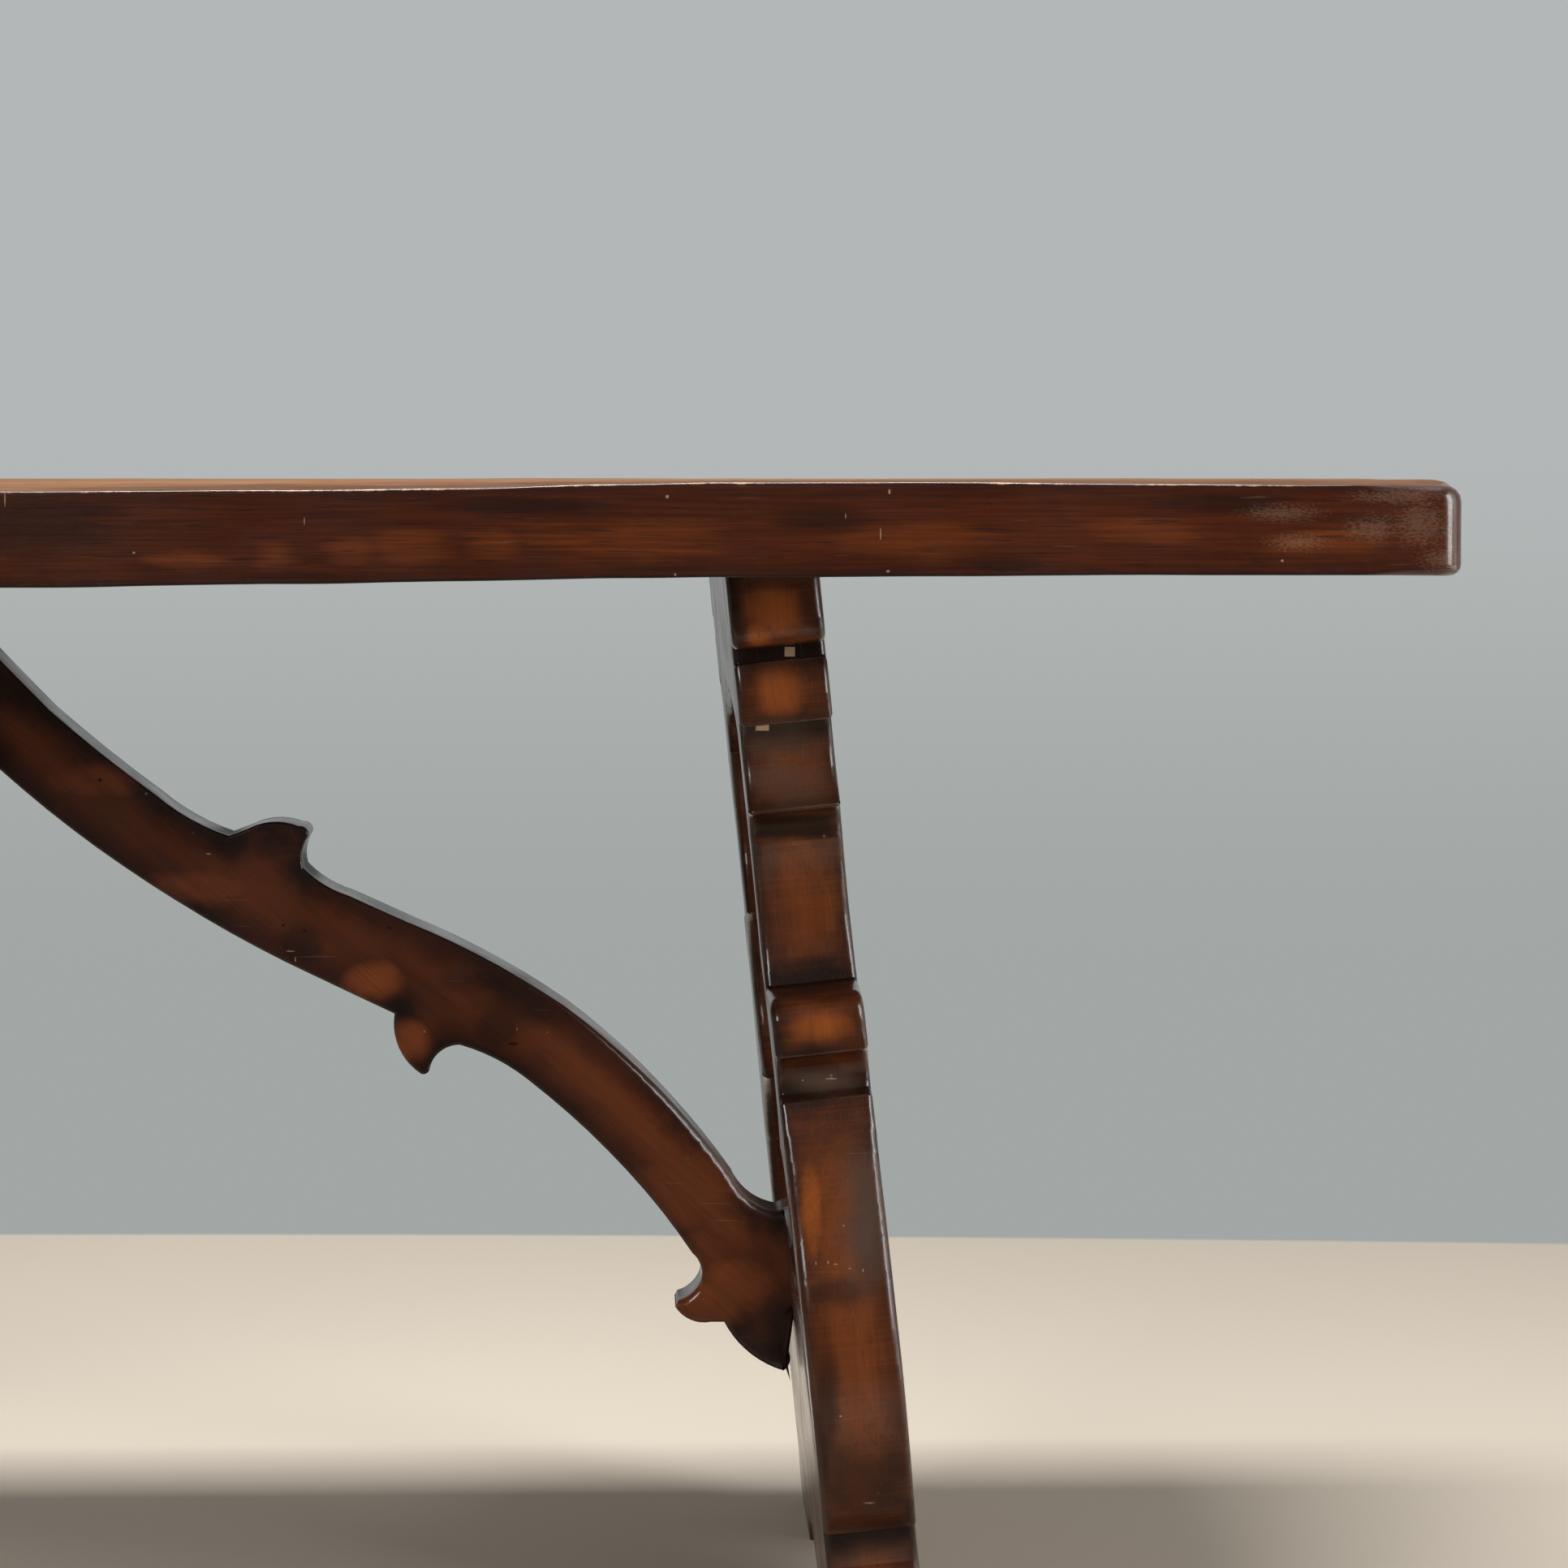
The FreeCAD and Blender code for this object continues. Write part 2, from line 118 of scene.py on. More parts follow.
# %% A helper for node graphs
class Graph:
    """Adds nodes to a tree and links them in one call each."""

    def __init__(self, tree):
        self.tree = tree

    def feed(self, socket, value):
        if isinstance(value, bpy.types.NodeSocket):
            self.tree.links.new(value, socket)
        else:
            socket.default_value = value

    def add(self, kind, inputs=None, **settings):
        node = self.tree.nodes.new(kind)
        for name, value in settings.items():
            setattr(node, name, value)
        for name, value in (inputs or {}).items():
            self.feed(node.inputs[name], value)
        return node

    def math(self, operation, *values):
        node = self.add("ShaderNodeMath", operation=operation)
        for socket, value in zip(node.inputs, values):
            self.feed(socket, value)
        return node.outputs[0]

    def times(self, value, amount):
        return self.math("MULTIPLY", value, amount)

    def most(self, first, *others):
        for other in others:
            first = self.math("MAXIMUM", first, other)
        return first

    def vector_math(self, operation, *values):
        node = self.add("ShaderNodeVectorMath", operation=operation)
        for socket, value in zip(node.inputs, values):
            self.feed(socket, value)
        return node.outputs["Value"] if operation == "LENGTH" else node.outputs["Vector"]

    def parts(self, vector):
        return self.add("ShaderNodeSeparateXYZ", {0: vector}).outputs

    def stretch(self, vector, scale, turn=(0, 0, 0), shift=(0, 0, 0)):
        inputs = {"Vector": vector, "Scale": scale, "Rotation": turn, "Location": shift}
        return self.add("ShaderNodeMapping", inputs).outputs["Vector"]

    def noise(self, vector, *settings):
        """A noise with a scale and, where given, its detail, roughness and distortion."""
        inputs = dict(zip(("Scale", "Detail", "Roughness", "Distortion"), settings))
        return self.add("ShaderNodeTexNoise", {"Vector": vector, **inputs}).outputs["Fac"]

    def span(self, value, low, high, start=0.0, end=1.0):
        """Turn low to high into start to end, smoothly and clamped."""
        node = self.add("ShaderNodeMapRange", {"Value": value}, interpolation_type="SMOOTHSTEP")
        names = "From Min", "From Max", "To Min", "To Max"
        for name, limit in zip(names, (low, high, start, end)):
            self.feed(node.inputs[name], limit)
        return node.outputs["Result"]

    def blend(self, amount, first, second):
        node = self.add("ShaderNodeMix", data_type="RGBA", blend_type="MIX")
        sockets = node.inputs[0], node.inputs[6], node.inputs[7]
        for socket, value in zip(sockets, (amount, first, second)):
            self.feed(socket, (*value, 1) if isinstance(value, tuple) else value)
        return node.outputs[2]

    def coordinates(self):
        return self.add("ShaderNodeTexCoord").outputs["Object"]


def empty_graph(owner):
    """Give a material or a world an empty tree, ready to fill."""
    owner.use_nodes = True
    owner.node_tree.nodes.clear()
    return Graph(owner.node_tree)


def principled(graph, color, height, strength, distance):
    """Join a shader with a colour and a relief to the output, and give its inputs."""
    relief = {"Height": height, "Strength": strength, "Distance": distance}
    normal = graph.add("ShaderNodeBump", relief).outputs["Normal"]
    shader = graph.add("ShaderNodeBsdfPrincipled", {"Base Color": color, "Normal": normal})
    graph.add("ShaderNodeOutputMaterial", {"Surface": shader.outputs[0]})
    return shader.inputs


print("A graph can", ", ".join(word for word in vars(Graph) if "_" not in word))


# %% [markdown]
# The studio is a pale floor that ends at a grey-blue backdrop. The world lights the table
# softly, and only the camera and reflections see its full brightness, so the wood keeps
# its own colour. Lacquer mirrors the room as well: the wall behind the table is bright,
# the room in front of it is dim, and a window stands far to the right. Reflections take
# all three from their direction. Real panels around the table would do the same, but they
# would throw light on the wood too, and stand in other views.

# %% World
BACKDROP = (0.452, 0.474, 0.474)
LOW_BACKDROP = (0.362, 0.388, 0.378)
DARKEST_SLOPE = -0.11
PALEST_SLOPE = 0.015
AMBIENT = 0.21
DIM_FRONT = 0.12
DIM_TO_BRIGHT = (-0.25, 0.45)
WINDOW = 6.0
WINDOW_SPANS = (("X", 0.45, 0.72), ("Y", 0.30, -0.25))

scene.view_settings.view_transform = "Standard"
world = bpy.data.worlds.new("studio")
scene.world = world
sky = empty_graph(world)
rays = sky.add("ShaderNodeLightPath").outputs
towards = sky.parts(sky.add("ShaderNodeTexCoord").outputs["Generated"])
behind = sky.span(towards["Y"], *DIM_TO_BRIGHT, DIM_FRONT, 1.0)
level = sky.most(behind, rays["Is Camera Ray"])
pane = rays["Is Glossy Ray"]
for axis, start, full in WINDOW_SPANS:
    pane = sky.times(sky.span(towards[axis], start, full), pane)
strength = sky.math("MULTIPLY_ADD", pane, WINDOW, level)
rise = sky.span(towards["Z"], DARKEST_SLOPE, PALEST_SLOPE)
wall = sky.blend(rise, LOW_BACKDROP, BACKDROP)
shown = sky.add("ShaderNodeBackground", {"Color": wall, "Strength": strength})
lighting = sky.add("ShaderNodeBackground", {"Strength": AMBIENT})
seen = sky.most(rays["Is Camera Ray"], rays["Is Glossy Ray"], rays["Is Transmission Ray"])
choice = sky.add("ShaderNodeMixShader", {0: seen, 1: lighting.outputs[0], 2: shown.outputs[0]})
sky.add("ShaderNodeOutputWorld", {"Surface": choice.outputs[0]})
print("The world lights at", AMBIENT, "and shows", BACKDROP)


# %% [markdown]
# The floor is one big square, made from a grid of one cell. It is part of the studio and
# not of the table.

# %% Floor
FLOOR_HALF = 40.0

ground = bmesh.new()
bmesh.ops.create_grid(ground, x_segments=1, y_segments=1, size=FLOOR_HALF)
floor_mesh = bpy.data.meshes.new("studio_floor")
ground.to_mesh(floor_mesh)
ground.free()
floor = bpy.data.objects.new("studio_floor", floor_mesh)
scene.collection.objects.link(floor)
print("The floor reaches", FLOOR_HALF, "metres each way")


# %% [markdown]
# Its colour is plain near the table and turns into the backdrop's own colour further out,
# where the wall stands in the picture. That border bends a little, as it does there. A
# real wall would hide the table from behind, so the paint does its work. Reflections find
# a dim floor in front of the table and the window's glare on the floor to the right.

# %% Floor paint
FLOOR = (0.70, 0.62, 0.515)
FADE_START = 1.574
FADE_END = 1.592
FLOOR_SHAPE = (0.58, 1.0, 0.0)
BORDER_BEND = (0.028, 0.035)
DIM_SPAN = (-1.1, -0.45)
RIGHT_SHADE_SPAN = (-0.2, 1.1)
RIGHT_SHADE = 0.86
GLARE_SPANS = (("X", 1.7, 2.3), ("Y", 0.6, -0.2), ("Y", -2.4, -1.5))
EYE_HEIGHT = CAMERA_PLACE[2]
EYE_BACK = -CAMERA_PLACE[1]

floor_paint = bpy.data.materials.new("floor_paint")
paint = empty_graph(floor_paint)
on_floor = paint.parts(paint.coordinates())
outwards = paint.vector_math("ABSOLUTE", paint.coordinates())
reach = paint.parts(paint.vector_math("MULTIPLY", outwards, FLOOR_SHAPE))
bend = paint.math("MULTIPLY_ADD", on_floor["X"], *BORDER_BEND)
bent = paint.math("MULTIPLY_ADD", on_floor["X"], bend, reach["Y"])
far = paint.span(paint.most(reach["X"], bent), FADE_START, FADE_END)
rays = paint.add("ShaderNodeLightPath").outputs
mirrored = rays["Is Glossy Ray"]
in_front = paint.span(on_floor["Y"], *DIM_SPAN, DIM_FRONT, 1.0)
level = paint.most(in_front, paint.math("SUBTRACT", 1.0, mirrored))
# Painted shade: the floor's colour darkens a little towards the right.
shaded_right = paint.span(on_floor["X"], *RIGHT_SHADE_SPAN, 1.0, RIGHT_SHADE)
matte_color = paint.vector_math("MULTIPLY", FLOOR, paint.times(level, shaded_right))
matte = paint.add("ShaderNodeBsdfDiffuse", {"Color": matte_color})
slope = paint.math("DIVIDE", -EYE_HEIGHT, paint.math("ADD", reach["Y"], EYE_BACK))
wall = paint.blend(paint.span(slope, DARKEST_SLOPE, PALEST_SLOPE), LOW_BACKDROP, BACKDROP)
glare = mirrored
for axis, start, full in GLARE_SPANS:
    glare = paint.times(glare, paint.span(on_floor[axis], start, full))
strength = paint.math("MULTIPLY_ADD", glare, WINDOW, level)
glow = paint.add("ShaderNodeEmission", {"Color": wall, "Strength": strength})
seen = paint.most(rays["Is Camera Ray"], mirrored, rays["Is Transmission Ray"])
lit = paint.most(paint.times(far, seen), glare)
joined = paint.add("ShaderNodeMixShader", {0: lit, 1: matte.outputs[0], 2: glow.outputs[0]})
paint.add("ShaderNodeOutputMaterial", {"Surface": joined.outputs[0]})
floor_mesh.materials.append(floor_paint)
print("The floor fades between", FADE_START, "and", FADE_END, "metres")


# %% [markdown]
# Three soft boxes light the table: one in front and to the left, a tall one to the right
# that draws the silver lines along the arrises, and one overhead that throws the soft
# shadow on the floor. Area lamps are used, because a large lamp gives a soft border and a
# lamp without size a hard one. Their power is plain, so that a colour renders about as it
# is written.

# %% Lamps
def softbox(name, place, target, wide, high, watts):
    """A rectangular lamp that looks at a target."""
    lamp = bpy.data.lights.new(name, "AREA")
    lamp.shape = "RECTANGLE"
    lamp.size = wide
    lamp.size_y = high
    lamp.energy = watts
    holder = bpy.data.objects.new(name, lamp)
    holder.location = place
    holder.rotation_euler = (Vector(target) - Vector(place)).to_track_quat("-Z", "Y").to_euler()
    scene.collection.objects.link(holder)


softbox("front_softbox", (-1.6, -3.4, 1.9), (0.3, 0, 0.55), 1.2, 1.1, 56)
softbox("side_softbox", (2.7, -1.7, 1.5), (0.7, -0.2, 0.5), 0.95, 2.2, 52)
softbox("overhead_softbox", (0.5, 0.20, 3.4), (0.5, 0.20, 0), 1.6, 0.65, 108)


# %% [markdown]
# Shapes next. The wobble of hand tools is a smooth field in space: every piece is moved
# by the field's value at its own place, so glued faces move together and stay closed. The
# noise starts from the clock unless it is given a seed, and a fixed one repeats the table.

# %% The wobble of hand tools
WOBBLES = ((0.0006, 7.0), (0.00014, 26.0))
FLOOR_FADE = 0.03
WOBBLE_SEED = 5

noise.seed_set(WOBBLE_SEED)


def wobble(place):
    """A small shift that varies smoothly over space and leaves the feet on the floor."""
    shift = Vector()
    for reach, rate in WOBBLES:
        shift += noise.noise_vector(place * rate) * reach
    shift.z *= min(1.0, max(0.0, place.z / FLOOR_FADE))
    return shift


print("The wobble at the top's corner:", [round(part * 1000, 2) for part in wobble(cad_high)], "mm")


# %% [markdown]
# The front edge of the real top has sunk a little towards the middle of the table, and
# the plank is a touch thinner at its end. Shares along the half length give the fall of
# the upper and the lower edge, and it dies out behind the front edge, where the trestle
# carries the plank.

# %% The sag of the front edge
SAG_SHARES = (0.0, 0.15, 0.30, 0.40, 0.50, 0.56, 0.68, 0.80, 0.92, 1.0)
TOP_FALL = (6.2, 6.2, 6.0, 4.9, 2.6, 1.4, 1.0, 1.9, 2.9, 2.9)
UNDER_FALL = (5.2, 4.9, 3.4, 1.6, 0.2, -0.4, -0.9, -1.8, -1.5, -1.0)
SAG_BAND = 0.11
MILLIMETRE = 0.001


def along(shares, values, share):
    """Read a table at a share, easing from one entry to the next."""
    for low, high, first, second in zip(shares, shares[1:], values, values[1:]):
        if share <= high:
            step = (share - low) / (high - low)
            return first + (second - first) * step * step * (3 - 2 * step)
    return values[-1]


def sag(place):
    """How far a point of the front plank has dropped."""
    top_low, top_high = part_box("top_front_board")
    share = abs(place.x) / top_high.x
    fall_top = along(SAG_SHARES, TOP_FALL, share)
    fall_under = along(SAG_SHARES, UNDER_FALL, share)
    height = (place.z - top_low.z) / (top_high.z - top_low.z)
    inward = min(1.0, max(0.0, (place.y - top_low.y) / SAG_BAND))
    fade = 1 - inward * inward * (3 - 2 * inward)
    return Vector((0, 0, -(fall_under + (fall_top - fall_under) * height) * fade * MILLIMETRE))


print("The sag in the middle:", round(sag(Vector((0, cad_low.y, cad_high.z))).z * 1000, 1), "mm")


# %% [markdown]
# The glued joints of the real table are tight and crisp, and only what shows has worn
# round. So each edge is first held against the boxes of the other pieces. The planks of a
# trestle lean, and their boxes are measured square to the plank. A test against every
# face of a neighbour would be exact, but boxes are quick and these pieces nearly fill them.

# %% Boxes square to the planks
TOUCH_GAP = 0.0002
SPLAY = math.radians(5.8)
JOINERY = ("trestle_tenons", "trestle_tongues", "brace_tongues", "batten_screws")


def square_turn(node):
    """The turn that stands a leaning trestle's plank upright."""
    if "trestle" not in node:
        return Matrix.Identity(3)
    return Matrix.Rotation(SPLAY if node.startswith("right") else -SPLAY, 3, "Y")


def square_box(node):
    turned = [square_turn(node) @ vert.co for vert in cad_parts[node].data.vertices]
    low = Vector([min(place[axis] for place in turned) - TOUCH_GAP for axis in range(3)])
    high = Vector([max(place[axis] for place in turned) + TOUCH_GAP for axis in range(3)])
    return low, high


square_boxes = {node: square_box(node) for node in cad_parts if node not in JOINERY}


def covered(node, places):
    """Whether some other piece's box holds all the places."""
    for other, (low, high) in square_boxes.items():
        if other == node:
            continue
        turned = [square_turn(other) @ place for place in places]
        if all(low[axis] <= place[axis] <= high[axis] for place in turned for axis in range(3)):
            return True
    return False


print("Boxes of", len(square_boxes), "pieces, square to their planks")


# %% [markdown]
# A CAD mesh is loose triangles, so a copy is merged and its flat faces are joined before
# anything else. An arris is the sharp edge where two faces meet. The outer ones are found
# by their angle, and points are put along them, so that a width can change smoothly from
# one end of an arris to the other.

# %% Working copies and their arrises
MERGE_GAP = 0.00002
FLAT_ANGLE = math.radians(0.3)
SHARP_ANGLE = math.radians(32)
ARRIS_STEP = 0.008


def working_copy(node):
    shape = bmesh.new()
    shape.from_mesh(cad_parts[node].data)
    bmesh.ops.remove_doubles(shape, verts=shape.verts, dist=MERGE_GAP)
    bmesh.ops.dissolve_limit(shape, angle_limit=FLAT_ANGLE, verts=shape.verts, edges=shape.edges)
    return shape


def arris_run(edge):
    first, second = (vert.co for vert in edge.verts)
    return (second - first).normalized()


def arris_middle(edge):
    first, second = (vert.co for vert in edge.verts)
    return (first + second) / 2


def outer_arrises(node, shape):
    """The convex sharp edges of a piece that show."""
    found = []
    for edge in shape.edges:
        if len(edge.link_faces) != 2 or not edge.is_convex:
            continue
        if edge.calc_face_angle() < SHARP_ANGLE:
            continue
        ends = [vert.co for vert in edge.verts]
        if max(place.z for place in ends) < TOUCH_GAP or covered(node, ends):
            continue
        found.append(edge)
    return found


def cut_arrises(node, shape):
    """Put points along the outer arrises of a piece."""
    for edge in outer_arrises(node, shape):
        cuts = int(edge.calc_length() / ARRIS_STEP)
        if cuts:
            bmesh.ops.bisect_edges(shape, edges=[edge], cuts=cuts)


print("An edge is an arris from", round(math.degrees(SHARP_ANGLE)), "degrees")


# %% [markdown]
# Two measures steer the finish later: how far a point lies from the nearest outer arris,
# and from the nearest inner corner. They are taken on the crisp shape, kept as numbers on
# the finished mesh, and read by the materials for worn edges and darkened recesses.

# %% Distances to edges
SAMPLE_STEP = 0.002
FAR_MM = 60.0


def edge_tree(edges):
    """A search tree of points along edges."""
    places = []
    for edge in edges:
        first, second = (vert.co for vert in edge.verts)
        steps = max(1, math.ceil((second - first).length / SAMPLE_STEP))
        places += [first.lerp(second, row / steps) for row in range(steps + 1)]
    tree = kdtree.KDTree(len(places))
    for row, place in enumerate(places):
        tree.insert(place, row)
    tree.balance()
    return tree


def inner_corners(node, shape):
    """The sharp inner corners that show: the throats of notches and steps."""
    found = []
    for edge in shape.edges:
        if len(edge.link_faces) != 2 or edge.is_convex:
            continue
        ends = [vert.co for vert in edge.verts]
        if edge.calc_face_angle() >= SHARP_ANGLE and not covered(node, ends):
            found.append(edge)
    return found


def keep_distances(mesh, name, tree):
    """Write each point's distance to the tree, in millimetres, on a mesh."""
    far = [FAR_MM] * len(mesh.vertices)
    if tree:
        for row, vert in enumerate(mesh.vertices):
            far[row] = min(FAR_MM, tree.find(vert.co)[2] / MILLIMETRE)
    mesh.attributes.new(name, "FLOAT", "POINT").data.foreach_set("value", far)


print("Edges are sampled every", SAMPLE_STEP / MILLIMETRE, "mm")


# %% [markdown]
# Wobble and shading need points to work on, and a flat CAD face has none inside. Planes
# square to the piece cut it into a grid. A Subdivision Surface would add points as well,
# but it would melt the crisp ledges of the mouldings.

# %% Cut a piece into a grid
GRID_STEPS = {"fine": 0.008, "coarse": 0.024}


def cut_grid(shape, turn, step):
    """Cut a shape with planes square to its own axes, each a step apart."""
    for axis in range(3):
        normal = turn.inverted() @ Vector([float(axis == item) for item in range(3)])
        reach = [normal.dot(vert.co) for vert in shape.verts]
        count = int((max(reach) - min(reach)) / step)
        gap = (max(reach) - min(reach)) / (count + 1)
        for row in range(1, count + 1):
            bmesh.ops.bisect_plane(
                shape,
                geom=shape.verts[:] + shape.edges[:] + shape.faces[:],
                dist=MERGE_GAP,
                plane_co=normal * (min(reach) + gap * row),
                plane_no=normal,
            )


print("Grid steps in metres:", GRID_STEPS)


# %% [markdown]
# Years of hands and cloths rounded the arrises. A Bevel modifier makes them, because it
# reads a weight, and so a width, from every single edge. Its clamp would make all bevels
# as narrow as the tightest corner asks, so it is off. The few points that leave the solid
# in such a corner are put back on its surface.

# %% Round the arrises
ARRIS_SEGMENTS = 4


def rounded(shape, edges, widths):
    """Round each arris to its own width, and keep the result inside the solid."""
    shape.edges.index_update()
    rows = [edge.index for edge in edges]
    solid = BVHTree.FromBMesh(shape)
    mesh = bpy.data.meshes.new("crisp")
    shape.to_mesh(mesh)
    shape.free()
    weights = mesh.attributes.new("bevel_weight_edge", "FLOAT", "EDGE")
    widest = max(widths)
    for row, width in zip(rows, widths):
        weights.data[row].value = width / widest
    holder = bpy.data.objects.new("crisp", mesh)
    scene.collection.objects.link(holder)
    bevel = holder.modifiers.new("arrises", "BEVEL")
    bevel.width = widest
    bevel.segments = ARRIS_SEGMENTS
    bevel.limit_method = "WEIGHT"
    bevel.use_clamp_overlap = False
    graph = bpy.context.evaluated_depsgraph_get()
    result = bmesh.new()
    result.from_mesh(holder.evaluated_get(graph).data)
    bpy.data.objects.remove(holder)
    bpy.data.meshes.remove(mesh)
    for layer in list(result.edges.layers.float.values()):
        result.edges.layers.float.remove(layer)
    for vert in result.verts:
        surface, normal, face, gap = solid.find_nearest(vert.co)
        if gap > MERGE_GAP and (vert.co - surface).dot(normal) > 0:
            vert.co = surface
    return result


print("Each round arris has", ARRIS_SEGMENTS, "steps")


# %% [markdown]
# One function dresses any wooden piece: find its arrises, round them, cut the grid, keep
# the distances, and shift the points. The Weighted Normal modifier lets the wide faces
# stay flat in the light, so that only the round arrises catch it. The finished piece rides
# on the table's one body in the place of its CAD node, which is hidden.

# %% Dress a wooden piece
SMOOTH_ANGLE = math.radians(38)
PLANK_NUMBERS = 17


def dress(node, material, widths_of, step, shift=None):
    """Make the finished piece that stands for a wooden node."""
    shape = working_copy(node)
    cut_arrises(node, shape)
    edges = outer_arrises(node, shape)
    arris_tree = edge_tree(edges)
    corners = inner_corners(node, shape)
    corner_tree = edge_tree(corners) if corners else None
    shape = rounded(shape, edges, widths_of(node, edges, corners))
    cut_grid(shape, square_turn(node), step)
    mesh = bpy.data.meshes.new(node + "_dressed")
    shape.to_mesh(mesh)
    shape.free()
    keep_distances(mesh, "to_arris", arris_tree)
    keep_distances(mesh, "to_corner", corner_tree)
    number = [float(sum(map(ord, node)) % PLANK_NUMBERS)] * len(mesh.vertices)
    mesh.attributes.new("plank", "FLOAT", "POINT").data.foreach_set("value", number)
    for vert in mesh.vertices:
        place = vert.co.copy()
        vert.co += wobble(place)
        if shift:
            vert.co += shift(place)
    mesh.polygons.foreach_set("use_smooth", [True] * len(mesh.polygons))
    mesh.set_sharp_from_angle(angle=SMOOTH_ANGLE)
    mesh.materials.append(material)
    piece = bpy.data.objects.new(node + "_dressed", mesh)
    scene.collection.objects.link(piece)
    steady = piece.modifiers.new("flat faces stay flat", "WEIGHTED_NORMAL")
    steady.keep_sharp = True
    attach(piece, "root")
    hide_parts(node)
    print(piece.name, len(edges), "arrises,", len(corners), "corners,", len(mesh.polygons), "faces")
    return piece


print("Faces that meet below", round(math.degrees(SMOOTH_ANGLE)), "degrees shade as one")


# %% [markdown]
# No arris on the real table has one width, so a function for each kind of piece gives
# every edge its own. The long edges of the top are still fairly crisp, while hips and
# hands have rounded its four corners like a ball. The batten is out of reach and even.

# %% Widths on the top and the batten
BATTEN_WIDTH = 0.0020
TOP_UPPER = 0.0018
TOP_LOWER = 0.0012
TOP_CORNER = 0.0105
LOWER_CORNER_SHARE = 0.7
TOP_CORNER_REACH = (0.018, 0.060)


def eased(value, low, high):
    share = min(1.0, max(0.0, (value - low) / (high - low)))
    return share * share * (3 - 2 * share)


def plain_widths(node, edges, corners):
    return [BATTEN_WIDTH] * len(edges)


def top_widths(node, edges, corners):
    """Crisp along the boards and rounded like a ball at the four corners of the top."""
    low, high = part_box(node)
    widths = []
    for edge in edges:
        middle = arris_middle(edge)
        upper = middle.z > (low.z + high.z) / 2
        ball = TOP_CORNER if upper else TOP_CORNER * LOWER_CORNER_SHARE
        plain = TOP_UPPER if upper else TOP_LOWER
        apart = Vector((cad_high.x - abs(middle.x), cad_high.y - abs(middle.y))).length
        widths.append(ball + (plain - ball) * eased(apart, *TOP_CORNER_REACH))
    return widths


print("The top's arrises are", TOP_UPPER / MILLIMETRE, "to", TOP_CORNER / MILLIMETRE, "mm wide")


# %% [markdown]
# On the trestles each moulding is narrower at its ledges and worn round in its middle,
# and the arrises across the plank are crisp. A search tree of the ledges tells how far an
# edge lies from the nearest one. The brace is crisp near the top and worn round by feet
# and knees near the leg, on its upper side only.

# %% Widths on the posts and the braces
CRISP = 0.0007
NEAR_LEDGE = 0.0034
WORN_ROUND = 0.0058
WORN_REACH = 0.045
BRACE_CRISP = 0.0020
BRACE_WORN = 0.0058
BRACE_WEAR_PLACES = (0.43, 0.54)
PARALLEL = 0.9
FACES_UP = 0.2


def plank_widths(node, edges, corners):
    """Crisp across the plank's thickness, wider along it, and widest between the ledges."""
    across = square_turn(node).inverted() @ Vector((1, 0, 0))
    ledges = [edge for edge in edges + corners if abs(arris_run(edge).dot(across)) > PARALLEL]
    tree = kdtree.KDTree(2 * len(ledges))
    for row, vert in enumerate(vert for edge in ledges for vert in edge.verts):
        tree.insert(vert.co, row)
    tree.balance()
    widths = []
    for edge in edges:
        if abs(arris_run(edge).dot(across)) > PARALLEL or not ledges:
            widths.append(CRISP)
            continue
        far = tree.find(arris_middle(edge))[2]
        widths.append(NEAR_LEDGE + (WORN_ROUND - NEAR_LEDGE) * eased(far, 0.0, WORN_REACH))
    return widths


def brace_widths(node, edges, corners):
    """Crisp towards the top of the table, worn round towards the leg on the upper side."""
    widths = []
    for edge in edges:
        upward = max(face.normal.z for face in edge.link_faces) > FACES_UP
        worn = eased(abs(arris_middle(edge).x), *BRACE_WEAR_PLACES) if upward else 0.0
        widths.append(BRACE_CRISP + (BRACE_WORN - BRACE_CRISP) * worn)
    return widths


print("The posts' arrises are", CRISP / MILLIMETRE, "to", WORN_ROUND / MILLIMETRE, "mm wide")


# %% [markdown]
# Old walnut gets its depth from layers: the wood's own figure and pores, a dark stain
# that the maker left in the recesses, paler worn edges, and a glossy skin over it all.
# Each layer is one shared node group, so that every piece is the same wood. A group gives
# only masks and values, and the shader itself stays in the material.

# %% A helper for shared groups
FLOAT = "NodeSocketFloat"
VECTOR = "NodeSocketVector"


def shared_group(name, inputs, outputs):
    """Start a node group, and give its tree, graph, given sockets and result sockets."""
    tree = bpy.data.node_groups.new(name, "ShaderNodeTree")
    for label, kind in inputs.items():
        tree.interface.new_socket(label, in_out="INPUT", socket_type=kind)
    for label, kind in outputs.items():
        tree.interface.new_socket(label, in_out="OUTPUT", socket_type=kind)
    graph = Graph(tree)
    print("The group", name, "gives", ", ".join(outputs))
    return tree, graph, graph.add("NodeGroupInput").outputs, graph.add("NodeGroupOutput").inputs


# %% [markdown]
# The grain runs along the group's own X axis. Rings are distances from the log's centre,
# which lies a little askew, so they open into long arches on a wide face. Fibres and
# pores are noises drawn out along the grain.

# %% Wood grain
RING_STEP = 0.010
LOG_ASKEW = (0.0, 0.045, 0.03)
LOG_CENTRE = (0.0, 0.13, 0.19)

